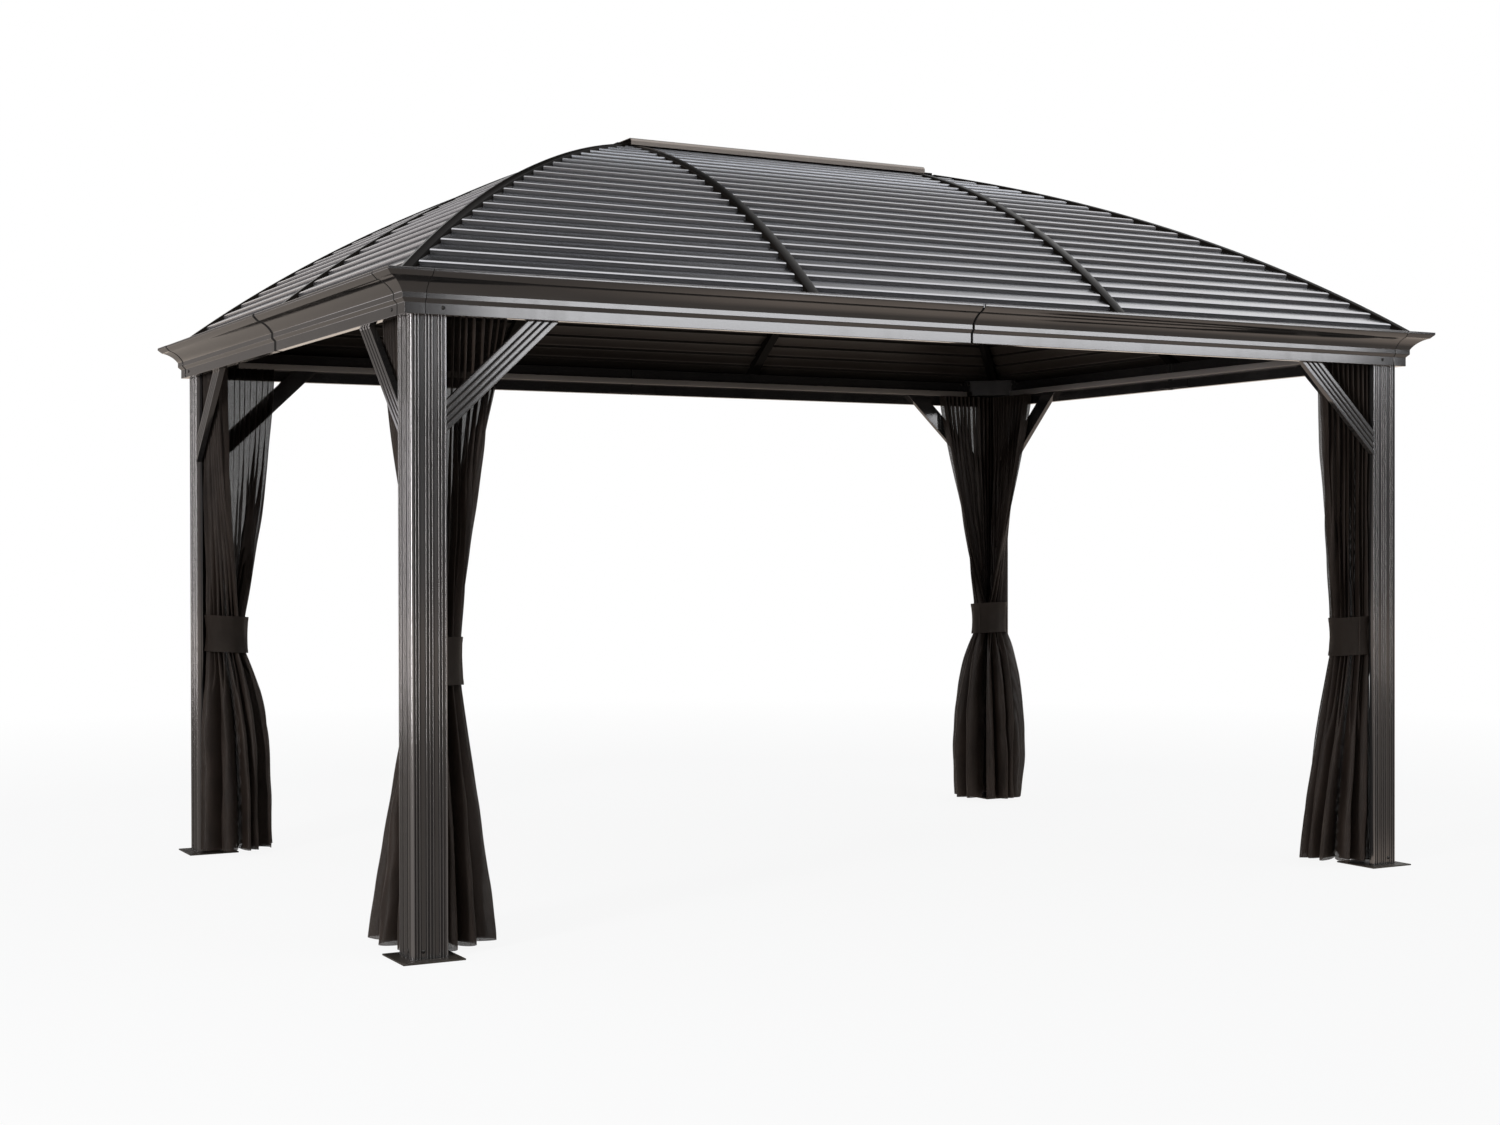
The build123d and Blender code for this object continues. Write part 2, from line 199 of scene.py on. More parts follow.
effectLook = {
    "peelDetail": 1.5,       # orange peel, drift of tone and flecks of a coat
    "driftDetail": 3.0,
    "toneSpan": (0.3, 0.7),
    "fleckSpan": (0.0, 0.22),
    "runDetail": 5.0,        # dried runs
    "runRough": 0.6,
    "threadSoft": 0.12,      # threads and faded patches of the netting
    "patchScale": 5.0,
    "patchDetail": 4.0,
}


def makeCoatGrain():
    # fine orange peel of a baked powder coat, with a slow drift of tone
    tree, given, made = groupTree("coatGrain", "ShaderNodeTree", {
        "Grain Scale": 700.0, "Drift Scale": 1.6}, ["Height", "Tone", "Speckle"])
    place = addNode(tree, "ShaderNodeTexCoord").outputs["Object"]
    peel = addNode(tree, "ShaderNodeTexNoise", {
        "Vector": place, "Scale": given.outputs["Grain Scale"], "Detail": effectLook["peelDetail"]})
    drift = addNode(tree, "ShaderNodeTexNoise", {
        "Vector": place, "Scale": given.outputs["Drift Scale"], "Detail": effectLook["driftDetail"]})
    fleck = addNode(tree, "ShaderNodeTexVoronoi", {
        "Vector": place, "Scale": given.outputs["Grain Scale"]})
    tone = remap(tree, drift.outputs["Fac"], *effectLook["toneSpan"], 0.0, 1.0)
    speckle = remap(tree, fleck.outputs["Distance"], *effectLook["fleckSpan"], 1.0, 0.0)
    feedAll(tree, made, {"Height": peel.outputs["Fac"], "Tone": tone, "Speckle": speckle})
    return tree


def makeRainMarks():
    # faint dried runs and dust, drawn out along one direction of the piece
    tree, given, made = groupTree("rainMarks", "ShaderNodeTree", {
        "Stretch": (9.0, 9.0, 0.9), "Low": 0.48, "High": 0.72}, ["Mask"])
    place = addNode(tree, "ShaderNodeTexCoord").outputs["Object"]
    drawn = maths(tree, "MULTIPLY", place, given.outputs["Stretch"], kind="ShaderNodeVectorMath")
    runs = addNode(tree, "ShaderNodeTexNoise", {
        "Vector": drawn, "Scale": 1.0,
        "Detail": effectLook["runDetail"], "Roughness": effectLook["runRough"]})
    mask = addNode(tree, "ShaderNodeMapRange", {
        "Value": runs.outputs["Fac"], "From Min": given.outputs["Low"], "From Max": given.outputs["High"],
    }, interpolation_type="SMOOTHSTEP")
    feed(tree, made.inputs["Mask"], mask.outputs[0])
    return tree


def makeNetWeave():
    # crossed threads on the cloth's own UV map, which is in metres
    tree, given, made = groupTree("netWeave", "ShaderNodeTree", {
        "Threads Per Metre": 520.0, "Thread Share": 0.62}, ["Thread", "Height", "Fade"])
    place = addNode(tree, "ShaderNodeTexCoord").outputs["UV"]
    parts = addNode(tree, "ShaderNodeSeparateXYZ", {0: place})
    ridges = []
    for axis in ("X", "Y"):
        count = maths(tree, "MULTIPLY", parts.outputs[axis], given.outputs["Threads Per Metre"])
        wave = maths(tree, "PINGPONG", count, 0.5)
        ridges.append(maths(tree, "MULTIPLY", wave, 2.0))
    height = maths(tree, "MAXIMUM", ridges[0], ridges[1])
    edge = maths(tree, "SUBTRACT", 1.0, given.outputs["Thread Share"])
    soft = maths(tree, "ADD", edge, effectLook["threadSoft"])
    patches = addNode(tree, "ShaderNodeTexNoise", {
        "Vector": place, "Scale": effectLook["patchScale"], "Detail": effectLook["patchDetail"]})
    fade = remap(tree, patches.outputs["Fac"], *effectLook["toneSpan"], 0.0, 1.0)
    thread = remap(tree, height, edge, soft, 0.0, 1.0)
    feedAll(tree, made, {"Thread": thread, "Height": height, "Fade": fade})
    return tree


coatGrain = makeCoatGrain()
rainMarks = makeRainMarks()
netWeave = makeNetWeave()


# finishes

def newFinish(name):
    finish = bpy.data.materials.new(name)
    finish.use_nodes = True
    tree = finish.node_tree
    tree.nodes.clear()
    shader = addNode(tree, "ShaderNodeBsdfPrincipled")
    addNode(tree, "ShaderNodeOutputMaterial", {"Surface": shader.outputs[0]})
    return finish, tree, shader


def blendColour(tree, amount, first, second):
    node = addNode(tree, "ShaderNodeMix", {"Factor": amount, "A": first, "B": second}, data_type="RGBA")
    return node.outputs["Result"]


def addBump(tree, shader, height, strength, depth):
    bump = addNode(tree, "ShaderNodeBump", {"Strength": strength, "Distance": depth, "Height": height})
    feed(tree, shader.inputs["Normal"], bump.outputs["Normal"])


coatBase = {
    "paintedShadeColour": (0.01, 0.009, 0.008, 1),
    "paintedShadeCover": 0.85,      # how far painted shade, and painted highlight, hide the coat
    "paintedHighlightCover": 0.75,
    "fleck": 0.30,
    "roughSpan": (-0.02, 0.03),
    "dustRough": 0.5,
    "grainScale": 620.0,
    "peelDepth": 0.0004,
}


def makeCoat(name, look):
    finish, tree, shader = newFinish(name)
    grain = addNode(tree, "ShaderNodeGroup", {"Grain Scale": look["grainScale"]}, node_tree=coatGrain)
    runs = addNode(tree, "ShaderNodeGroup", {"Stretch": look["runs"]}, node_tree=rainMarks)
    # paintedLight: below 0 is painted shade (darker, rougher, less metallic), above 0 is a painted
    # highlight (lighter colour)
    paintedLight = addNode(tree, "ShaderNodeAttribute", attribute_name="paintedLight").outputs["Fac"]
    paintedShade = remap(tree, paintedLight, 0.0, -1.0, 0.0, 1.0)
    layers = [
        (maths(tree, "MULTIPLY", grain.outputs["Speckle"], look["fleck"]), "fleckAndHighlightColour"),
        (maths(tree, "MULTIPLY", runs.outputs["Mask"], look["dust"]), "dustColour"),
        (remap(tree, paintedLight, 0.0, -1.0, 0.0, look["paintedShadeCover"]), "paintedShadeColour"),
        (remap(tree, paintedLight, 0.0, 1.0, 0.0, look["paintedHighlightCover"]), "fleckAndHighlightColour"),
    ]
    colour = blendColour(tree, grain.outputs["Tone"], look["colour"], look["driftColour"])
    for amount, over in layers:
        colour = blendColour(tree, amount, colour, look[over])
    low, high = (look["rough"] + part for part in look["roughSpan"])
    rough = remap(tree, grain.outputs["Tone"], 0.0, 1.0, low, high)
    rough = maths(tree, "MULTIPLY_ADD", runs.outputs["Mask"], look["dust"] * look["dustRough"], rough)
    feedAll(tree, shader, {
        "Base Color": colour,
        "Roughness": maths(tree, "MAXIMUM", rough, paintedShade),
        "Metallic": remap(tree, paintedShade, 0.0, 1.0, look["metallic"], 0.0),
        "Specular IOR Level": look["specular"],
    })
    addBump(tree, shader, grain.outputs["Height"], look["peel"], look["peelDepth"])
    return finish


coatLooks = {
    "frameCoat": {
        "colour": (0.082, 0.079, 0.079, 1), "driftColour": (0.096, 0.092, 0.092, 1),
        "fleckAndHighlightColour": (0.26, 0.255, 0.26, 1), "fleck": 0.25, "paintedShadeColour": (0.008, 0.007, 0.006, 1),
        "dustColour": (0.15, 0.145, 0.14, 1), "dust": 0.08, "runs": (9.0, 9.0, 0.9),
        "rough": 0.11, "metallic": 0.80, "specular": 0.30, "peel": 0.02,
    },
    "ribCoat": {
        "colour": (0.007, 0.006, 0.005, 1), "driftColour": (0.011, 0.009, 0.008, 1),
        "fleckAndHighlightColour": (0.04, 0.036, 0.032, 1), "fleck": 0.15, "paintedShadeColour": (0.005, 0.004, 0.004, 1),
        "dustColour": (0.04, 0.036, 0.032, 1), "dust": 0.05, "runs": (5.0, 5.0, 2.0),
        "rough": 0.18, "metallic": 0.0, "specular": 0.02, "peel": 0.03,
    },
    "capCoat": {
        "colour": (0.115, 0.100, 0.090, 1), "driftColour": (0.140, 0.122, 0.110, 1),
        "fleckAndHighlightColour": (0.22, 0.20, 0.18, 1),
        "dustColour": (0.16, 0.145, 0.13, 1), "dust": 0.15, "runs": (5.0, 5.0, 2.0),
        "rough": 0.38, "metallic": 0.75, "specular": 0.40, "peel": 0.3,
    },
    "sheetCoat": {
        "colour": (0.130, 0.130, 0.140, 1), "driftColour": (0.155, 0.155, 0.166, 1),
        "fleckAndHighlightColour": (0.26, 0.26, 0.27, 1), "fleck": 0.12, "paintedShadeColour": (0.02, 0.02, 0.02, 1),
        "dustColour": (0.20, 0.20, 0.205, 1), "dust": 0.10, "runs": (2.5, 2.5, 14.0),
        "rough": 0.20, "metallic": 0.88, "specular": 0.4, "peel": 0.05,
    },
    "underCoat": {
        "colour": (0.026, 0.021, 0.018, 1), "driftColour": (0.034, 0.028, 0.024, 1),
        "fleckAndHighlightColour": (0.07, 0.06, 0.055, 1),
        "dustColour": (0.06, 0.055, 0.05, 1), "dust": 0.15, "runs": (2.5, 2.5, 14.0),
        "rough": 0.45, "metallic": 0.2, "specular": 0.35, "peel": 0.2,
    },
    "plateCoat": {
        "colour": (0.030, 0.026, 0.022, 1), "driftColour": (0.044, 0.038, 0.032, 1),
        "fleckAndHighlightColour": (0.10, 0.09, 0.08, 1), "fleck": 0.35,
        "dustColour": (0.16, 0.14, 0.12, 1), "dust": 0.30, "runs": (11.0, 11.0, 6.0),
        "rough": 0.48, "metallic": 0.3, "specular": 0.35, "grainScale": 700.0, "peel": 0.3,
    },
    # painted highlight: the rails are coloured much lighter than the frame for the bright edge they show
    # in the shade under the roof
    "railCoat": {
        "colour": (0.240, 0.225, 0.215, 1), "driftColour": (0.280, 0.265, 0.255, 1),
        "fleckAndHighlightColour": (0.22, 0.21, 0.20, 1),
        "dustColour": (0.15, 0.145, 0.14, 1), "dust": 0.10, "runs": (4.0, 4.0, 9.0),
        "rough": 0.32, "metallic": 0.7, "specular": 0.4, "peel": 0.2,
    },
    "screwCoat": {
        "colour": (0.010, 0.009, 0.009, 1), "driftColour": (0.016, 0.015, 0.014, 1),
        "fleckAndHighlightColour": (0.06, 0.058, 0.056, 1), "fleck": 0.20,
        "dustColour": (0.03, 0.028, 0.026, 1), "dust": 0.10, "runs": (60.0, 60.0, 40.0),
        "rough": 0.35, "metallic": 0.1, "specular": 0.3, "grainScale": 1500.0, "peel": 0.1,
    },
}
coats = {name: makeCoat(name, {**coatBase, **look}) for name, look in coatLooks.items()}


clothBase = {
    "threads": 1300.0,       # per metre
    "threadBump": 0.5,
    "threadDepth": 0.0005,
    "fadeShine": 0.10,       # how much smoother the faded patches are
    "sheenColour": (0.55, 0.48, 0.44, 1),
    "sheenRough": 0.45,
}


def makeCloth(name, look):
    finish, tree, shader = newFinish(name)
    weave = addNode(tree, "ShaderNodeGroup", {
        "Threads Per Metre": look["threads"], "Thread Share": look["threadShare"]}, node_tree=netWeave)
    fade = weave.outputs["Fade"]
    rough = remap(tree, fade, 0.0, 1.0, look["rough"], look["rough"] - look["fadeShine"])
    feedAll(tree, shader, {
        "Base Color": blendColour(tree, fade, look["colour"], look["fadeColour"]),
        "Roughness": rough,
        "Specular IOR Level": look["specular"],
        "Sheen Weight": look["sheen"],
        "Sheen Roughness": look["sheenRough"],
        "Sheen Tint": look["sheenColour"],
    })
    if look["clear"] > 0:
        alpha = remap(tree, weave.outputs["Thread"], 0.0, 1.0, 1.0 - look["clear"], 1.0)
        feed(tree, shader.inputs["Alpha"], alpha)
    addBump(tree, shader, weave.outputs["Height"], look["threadBump"], look["threadDepth"])
    return finish


clothLooks = {
    "netCloth": {
        "colour": (0.016, 0.011, 0.009, 1), "fadeColour": (0.034, 0.024, 0.019, 1),
        "threadShare": 0.60, "clear": 0.50, "rough": 0.50, "specular": 0.20, "sheen": 0.04,
    },
    "bandCloth": {
        "colour": (0.011, 0.008, 0.006, 1), "fadeColour": (0.021, 0.015, 0.012, 1),
        "threadShare": 0.80, "clear": 0.0, "rough": 0.65, "specular": 0.15, "sheen": 0.03,
    },
}
cloths = {name: makeCloth(name, {**clothBase, **look}) for name, look in clothLooks.items()}
print("finishes made:", len(coats) + len(cloths))


# the roof's curve

roofLook = {
    "crest": 2.843,          # where the two roof curves would meet
    "eaveInset": 0.048,      # lip to the foot of the curve
    "bulge": 0.095,
    "search": (-0.15, 1.15),  # shares of the curve that a search covers
    "halvings": 50,
    "laps": 23,
    "lapDepth": 0.012,
    # one lap from its nose upwards: share of the way, height as a share of the depth
    "lapShape": [(0.0, 0.86), (0.0417, 0.955), (0.0833, 1.0), (0.125, 0.985), (0.1667, 0.94),
                 (0.955, 0.0), (0.9583, 0.0), (1.0, 0.86)],
    "lapNudge": 0.0005,      # keeps the first row of a lap in it
    "noseShine": 1.0,        # painted highlight: lighter metal on the noses of the laps,
    "noseRise": (0.0, 0.04),
    "noseFall": (0.09, 0.16),
    "creaseShade": 0.8,      # and painted shade where each lap goes under the next
    "creaseRise": (0.90, 0.95),
    "ripple": 0.0012,        # sheets are never quite flat
    "ripplesAcross": 4.0,
    "ripplesUp": 9.0,
    "sheetThickness": 0.003,
    "sheetSharp": 45,        # degrees
    "rowsPerLap": 24,
    "columns": 9,
    "ribWidth": 0.042,
    "ribProud": 0.004,
    "ribBelow": 0.040,
    "ribEdge": 0.0015,       # rounding of the rib's top edges
    "ribEdgeShare": 0.3,
    "ribSteps": 56,
    "ribSharp": 25,
    "sideClear": 0.0213,     # middle of a rib to the sheet beside it
    "ribInset": 1.505,       # lip to the middle of the long-side ribs
    "ribEnd": 1.435,         # lip to the ends of the long-side ribs
    "hipEnd": 1.420,         # and of the hips and short-side ribs
    "ridgeSide": 1.4347,     # lip to the sheet's edge at the ridge, long sides
    "ridgeEnd": 1.4197,      # the same on the short sides
}


def roofCircle():
    halfWidth = gazebo["width"] / 2
    run = halfWidth - roofLook["eaveInset"]
    rise = roofLook["crest"] - gazebo["ledge"]
    chord = math.hypot(run, rise)
    radius = chord ** 2 / (8 * roofLook["bulge"]) + roofLook["bulge"] / 2
    backOff = radius - roofLook["bulge"]
    centreIn = roofLook["eaveInset"] + run / 2 + backOff * rise / chord
    centreUp = gazebo["ledge"] + rise / 2 - backOff * run / chord
    first = math.atan2(gazebo["ledge"] - centreUp, roofLook["eaveInset"] - centreIn)
    last = math.atan2(roofLook["crest"] - centreUp, halfWidth - centreIn)
    return centreIn, centreUp, radius, first, last


centreIn, centreUp, roofRadius, firstAngle, lastAngle = roofCircle()


def roofPoint(share, offset):
    angle = firstAngle + share * (lastAngle - firstAngle)
    reach = roofRadius + offset
    return centreIn + reach * math.cos(angle), centreUp + reach * math.sin(angle)


def shareWhere(offset, axis, value):
    # share along the curve at which its inset (0) or height (1) has a value
    low, high = roofLook["search"]
    for step in range(roofLook["halvings"]):
        middle = (low + high) / 2
        if roofPoint(middle, offset)[axis] < value:
            low = middle
        else:
            high = middle
    return (low + high) / 2


def lapCurve(tree, lap):
    profile = addNode(tree, "ShaderNodeFloatCurve", {"Value": lap})
    curve = profile.mapping.curves[0]
    while len(curve.points) < len(roofLook["lapShape"]):
        curve.points.new(0.5, 0.5)
    for point, spot in zip(curve.points, roofLook["lapShape"]):
        point.location = spot
        point.handle_type = "VECTOR"
    profile.mapping.update()
    return profile.outputs[0]


def makeLappedSheet():
    # a grid bent to the roof's curve, stepped into laps and cut along two lines
    tree, given, made = groupTree("lappedSheet", "GeometryNodeTree", {
        "Rows": 500, "Columns": 2, "First Share": 0.0, "Last Share": 1.0, "Laps": 23.0, "Lap Depth": 0.015,
        "Centre In": 0.0, "Centre Up": 0.0, "Radius": 1.0, "First Angle": 0.0, "Last Angle": 1.0,
        "Start Base": 0.0, "Start Slope": 0.0, "End Base": 1.0, "Ripple": 0.0,
        "Nose Shine": 0.0, "Crease Shade": 0.0, "Finish": "NodeSocketMaterial",
    }, ["Geometry"], "NodeSocketGeometry")
    kept = given.outputs
    grid = addNode(tree, "GeometryNodeMeshGrid", {
        "Size X": 1.0, "Size Y": 1.0, "Vertices X": kept["Columns"], "Vertices Y": kept["Rows"]})
    position = addNode(tree, "GeometryNodeInputPosition").outputs[0]
    place = addNode(tree, "ShaderNodeSeparateXYZ", {0: position})
    # 0 to 1 over the grid
    across, climb = (maths(tree, "ADD", place.outputs[axis], 0.5) for axis in "XY")
    share = remap(tree, climb, 0.0, 1.0, kept["First Share"], kept["Last Share"])
    lap = maths(tree, "FRACT", maths(tree, "MULTIPLY_ADD", share, kept["Laps"], roofLook["lapNudge"]))
    sink = maths(tree, "SUBTRACT", lapCurve(tree, lap), 1.0)
    offset = maths(tree, "MULTIPLY", sink, kept["Lap Depth"])
    # painted highlight on the noses of the laps, painted shade in the creases under them
    nose = maths(tree, "MULTIPLY", remap(tree, lap, *roofLook["noseRise"], 0.0, kept["Nose Shine"]),
                 remap(tree, lap, *roofLook["noseFall"], 1.0, 0.0))
    crease = remap(tree, lap, *roofLook["creaseRise"], 0.0, kept["Crease Shade"])
    marked = addNode(tree, "GeometryNodeStoreNamedAttribute", {
        "Name": "paintedLight", "Geometry": grid.outputs["Mesh"], "Value": maths(tree, "SUBTRACT", nose, crease),
    }, data_type="FLOAT", domain="POINT")
    span = maths(tree, "SUBTRACT", kept["Last Angle"], kept["First Angle"])
    angle = maths(tree, "MULTIPLY_ADD", share, span, kept["First Angle"])
    rippleAt = addNode(tree, "ShaderNodeCombineXYZ", {
        "X": maths(tree, "MULTIPLY", across, roofLook["ripplesAcross"]),
        "Y": maths(tree, "MULTIPLY", share, roofLook["ripplesUp"]), "Z": kept["Start Base"]})
    ripple = addNode(tree, "ShaderNodeTexNoise", {"Vector": rippleAt.outputs[0], "Scale": 1.0})
    wander = maths(tree, "MULTIPLY", maths(tree, "SUBTRACT", ripple.outputs["Fac"], 0.5), kept["Ripple"])
    reach = maths(tree, "ADD", maths(tree, "ADD", kept["Radius"], offset), wander)
    inward = maths(tree, "MULTIPLY_ADD", maths(tree, "COSINE", angle), reach, kept["Centre In"])
    up = maths(tree, "MULTIPLY_ADD", maths(tree, "SINE", angle), reach, kept["Centre Up"])
    start = maths(tree, "MULTIPLY_ADD", inward, kept["Start Slope"], kept["Start Base"])
    length = maths(tree, "SUBTRACT", kept["End Base"], start)
    along = maths(tree, "MULTIPLY_ADD", length, across, start)
    spot = addNode(tree, "ShaderNodeCombineXYZ", {"X": along, "Y": inward, "Z": up})
    bent = addNode(tree, "GeometryNodeSetPosition", {
        "Geometry": marked.outputs[0], "Position": spot.outputs[0]})
    endGeometry(tree, made, bent.outputs[0], kept["Finish"])
    return tree


lappedSheet = makeLappedSheet()


def makeSheet(name, node, matrix, startBase, startSlope, endBase, topInset):
    step = 1.0 / (roofLook["laps"] * roofLook["rowsPerLap"])
    rows = int(shareWhere(0.0, 0, topInset) / step)
    piece = addObject(name, bpy.data.meshes.new(name))
    bend = piece.modifiers.new("laps", "NODES")
    bend.node_group = lappedSheet
    setInputs(bend, {
        "Rows": rows, "Columns": roofLook["columns"], "First Share": step, "Last Share": rows * step,
        "Laps": float(roofLook["laps"]), "Lap Depth": roofLook["lapDepth"],
        "Centre In": centreIn, "Centre Up": centreUp, "Radius": roofRadius,
        "First Angle": firstAngle, "Last Angle": lastAngle,
        "Start Base": startBase, "Start Slope": startSlope, "End Base": endBase,
        "Ripple": roofLook["ripple"], "Nose Shine": roofLook["noseShine"],
        "Crease Shade": roofLook["creaseShade"], "Finish": coats["sheetCoat"],
    })
    bakeModifiers(piece)
    placeMesh(piece.data, matrix)
    if sum(face.normal.z for face in piece.data.polygons) < 0:
        piece.data.flip_normals()
    wall = piece.modifiers.new("wall", "SOLIDIFY")
    wall.thickness = roofLook["sheetThickness"]
    wall.offset = -1.0
    wall.material_offset = 1
    wall.material_offset_rim = 1
    piece.data.materials.append(coats["underCoat"])
    bakeModifiers(piece)
    sharpen(piece.data, roofLook["sheetSharp"])
    return finishPiece(piece, "roof_sheets", node)


hipClear = roofLook["sideClear"] * math.sqrt(2)
for cornerName, (xSide, ySide) in cornerSides.items():
    yName, xName = cornerName.split("_")
    makeSheet(f"sheet_{yName}_{xName}", f"panel_{yName}_{xName}", cornerMatrix(xSide, ySide),
              hipClear, 1.0, roofLook["ribInset"] - roofLook["sideClear"], roofLook["ridgeSide"])
    makeSheet(f"sheet_{xName}_{yName}", f"panel_{xName}_{yName}", cornerMatrix(xSide, ySide, True),
              hipClear, 1.0, gazebo["width"] / 2 - roofLook["sideClear"], roofLook["ridgeEnd"])
for sideName, ySide in (("front", -1), ("back", 1)):
    makeSheet(f"sheet_{sideName}_middle", f"panel_{sideName}_middle", cornerMatrix(-1, ySide),
              roofLook["ribInset"] + roofLook["sideClear"], 0.0,
              gazebo["length"] - roofLook["ribInset"] - roofLook["sideClear"], roofLook["ridgeSide"])
print("lapped roof sheets made")


# ribs and hips: bars bent along the same curve

def makeBar(name, node, matrix, middleInset, endInset, mitred):
    half, edge = roofLook["ribWidth"] / 2, roofLook["ribEdge"]
    proud, low = roofLook["ribProud"], -roofLook["ribBelow"]
    bite = edge * roofLook["ribEdgeShare"]
    section = [(-half, low), (-half, proud - edge), (-half + bite, proud - bite), (-half + edge, proud),
               (0, proud), (half - edge, proud), (half - bite, proud - bite), (half, proud - edge),
               (half, low), (0, low)]
    steps = roofLook["ribSteps"]
    points = []
    for side, offset in section:
        wide = side * math.sqrt(2) if mitred else side
        first = shareWhere(offset, 1, gazebo["ledge"])
        last = shareWhere(offset, 0, endInset - max(wide, 0) if mitred else endInset)
        for step in range(steps + 1):
            inset, height = roofPoint(first + (last - first) * step / steps, offset)
            if not mitred:
                points.append((middleInset + side, inset, height))
            elif side >= 0:
                points.append((inset + wide, inset, height))
            else:
                points.append((inset, inset - wide, height))
    row = steps + 1
    starts = [ring * row for ring in range(len(section))]
    faces = [starts, [start + steps for start in starts][::-1]]
    for start, after in zip(starts, starts[1:] + starts[:1]):
        faces += stripFaces(start, after, row)
    mesh = meshFrom(name, points, faces, matrix)
    mesh.materials.append(coats["ribCoat"])
    sharpen(mesh, roofLook["ribSharp"])
    return finishPiece(addObject(name, mesh), "roof_ribs", node)


for cornerName, (xSide, ySide) in cornerSides.items():
    corner = cornerMatrix(xSide, ySide)
    makeBar(f"bar_{cornerName}", f"rib_{cornerName}", corner,
            roofLook["ribInset"], roofLook["ribEnd"], False)
    makeBar(f"hip_bar_{cornerName}", f"hip_{cornerName}", corner, 0, roofLook["hipEnd"], True)
for sideName, xSide in (("left", -1), ("right", 1)):
    makeBar(f"bar_{sideName}", f"rib_{sideName}", cornerMatrix(xSide, -1, True),
            gazebo["width"] / 2, roofLook["hipEnd"], False)
print("ribs and hips made")


# posts: angle sections with round beads up both outer faces

postLook = {
    "leg": 0.117,
    "thickness": 0.024,
    "foot": 0.005,
    "bead": 0.003,
    "beadWidth": 0.0055,
    "beadShares": (0.145, 0.23, 0.43, 0.52, 0.61, 0.785, 0.87),
    "beadTurns": 7,
    "groove": 0.0020,        # painted shade: a dark line at the foot of each bead
    "grooveShare": 0.85,
    "cornerRound": 0.0080,
    "cornerTurns": 8,
    "cornerEase": 0.0008,
    "cornerFoot": 0.0020,
    "edgeEase": 0.0012,      # rounding, foot and side of the strip at the end of a leg
    "edgeFoot": 0.0006,
    "edgeSide": 0.0007,
    "sharp": 50,             # degrees
}
# painted highlight: how much lighter the rounded places of a post are coloured
postShine = {
    "corner": 1.0, "cornerEnd": 0.6,
    "beadTop": 0.35, "beadSide": 0.05,
    "edge": 0.8, "edgeEnd": 0.4,
}


def legProfile():
    # places across one leg: along, depth under the tops of the beads, painted highlight (+) or painted
    # shade (-)
    leg, bead, groove = postLook["leg"], postLook["bead"], postLook["groove"]
    half, turns = postLook["beadWidth"] / 2, postLook["beadTurns"]
    dark = groove * postLook["grooveShare"]
    start = postLook["cornerRound"]
    foot = start + postLook["cornerFoot"]
    spots = [(start + postLook["cornerEase"], 0.0, postShine["cornerEnd"]), (foot, bead, -1.0),
             (foot + groove, bead, 0.0)]
    for share in postLook["beadShares"]:
        middle = share * leg
        spots += [(middle - half - groove, bead, 0.0), (middle - half - dark, bead, -1.0),
                  (middle - half, bead, -1.0)]
        for turn in range(turns):
            swing = math.pi * (turn + 0.5) / turns
            paintedLight = postShine["beadTop"] if abs(turn - turns // 2) <= 1 else postShine["beadSide"]
            spots.append((middle - math.cos(swing) * half, bead * (1 - math.sin(swing)), paintedLight))
        spots += [(middle + half, bead, -1.0), (middle + half + dark, bead, -1.0),
                  (middle + half + groove, bead, 0.0)]
    edge, ease = leg - postLook["beadWidth"], postLook["edgeEase"]
    spots += [(edge - groove, bead, 0.0), (edge - postLook["edgeFoot"], bead, -1.0),
              (edge, postLook["edgeSide"], postShine["edgeEnd"]), (edge + ease, 0.0, postShine["edge"]),
              (leg - ease, 0.0, postShine["edge"]), (leg, ease, postShine["edgeEnd"])]
    return spots


def makePost(name, node, matrix):
    back = gazebo["beamBack"]
    inner = back + postLook["thickness"]
    end = back + postLook["leg"]
    front = [(back + along, back + deep, paintedLight) for along, deep, paintedLight in legProfile()]
    side = [(across, along, paintedLight) for along, across, paintedLight in reversed(front)]
    radius, turns = postLook["cornerRound"], postLook["cornerTurns"]
    nose = []
    for turn in range(turns + 1):
        angle = math.pi + math.pi / 2 * turn / turns
        nose.append((back + radius * (1 + math.cos(angle)), back + radius * (1 + math.sin(angle)),
                     postShine["corner"]))
    outline = side + nose + front + [(end, inner, 0.0), (inner, inner, 0.0), (inner, end, 0.0)]
    count = len(outline)
    points = [(x, y, height) for height in (postLook["foot"], gazebo["ledge"]) for x, y, paintedLight in outline]
    faces = stripFaces(0, count, count, around=True)
    faces += [list(range(count))[::-1], list(range(count, 2 * count))]
    mesh = meshFrom(name, points, faces, matrix)
    # painted highlight on the rounded places, painted shade at the feet of the beads
    mask = mesh.attributes.new("paintedLight", "FLOAT", "POINT")
    mask.data.foreach_set("value", [paintedLight for x, y, paintedLight in outline] * 2)
    mesh.materials.append(coats["frameCoat"])
    sharpen(mesh, postLook["sharp"])
    return finishPiece(addObject(name, mesh), "frame", node)


for cornerName, (xSide, ySide) in cornerSides.items():
    makePost(f"angle_post_{cornerName}", f"post_{cornerName}", cornerMatrix(xSide, ySide))
print("posts made")


# rigid CAD pieces with their edges eased

seamLook = {
    "gap": 0.005,            # between the two lengths of beam on a side
    "cornerReach": 0.144,    # lip to the end of a corner piece's arm
    "shade": (0.0024, 0.0120),  # painted shade: a dark line each side of a joint, long and short sides
    "soft": 0.0004,
    "slack": 0.0001,
    "grooveFloor": 0.108,    # lip to the floor of a knee brace's grooves
    "grooveSlack": 0.0007,
}
easeLook = {
    "weld": 2e-5,
    "flatAngle": 0.6,        # degrees: flatter edges are dissolved, steeper ones eased
    "easeAngle": 28,
    "segments": 2,
    "sharp": 50,
}


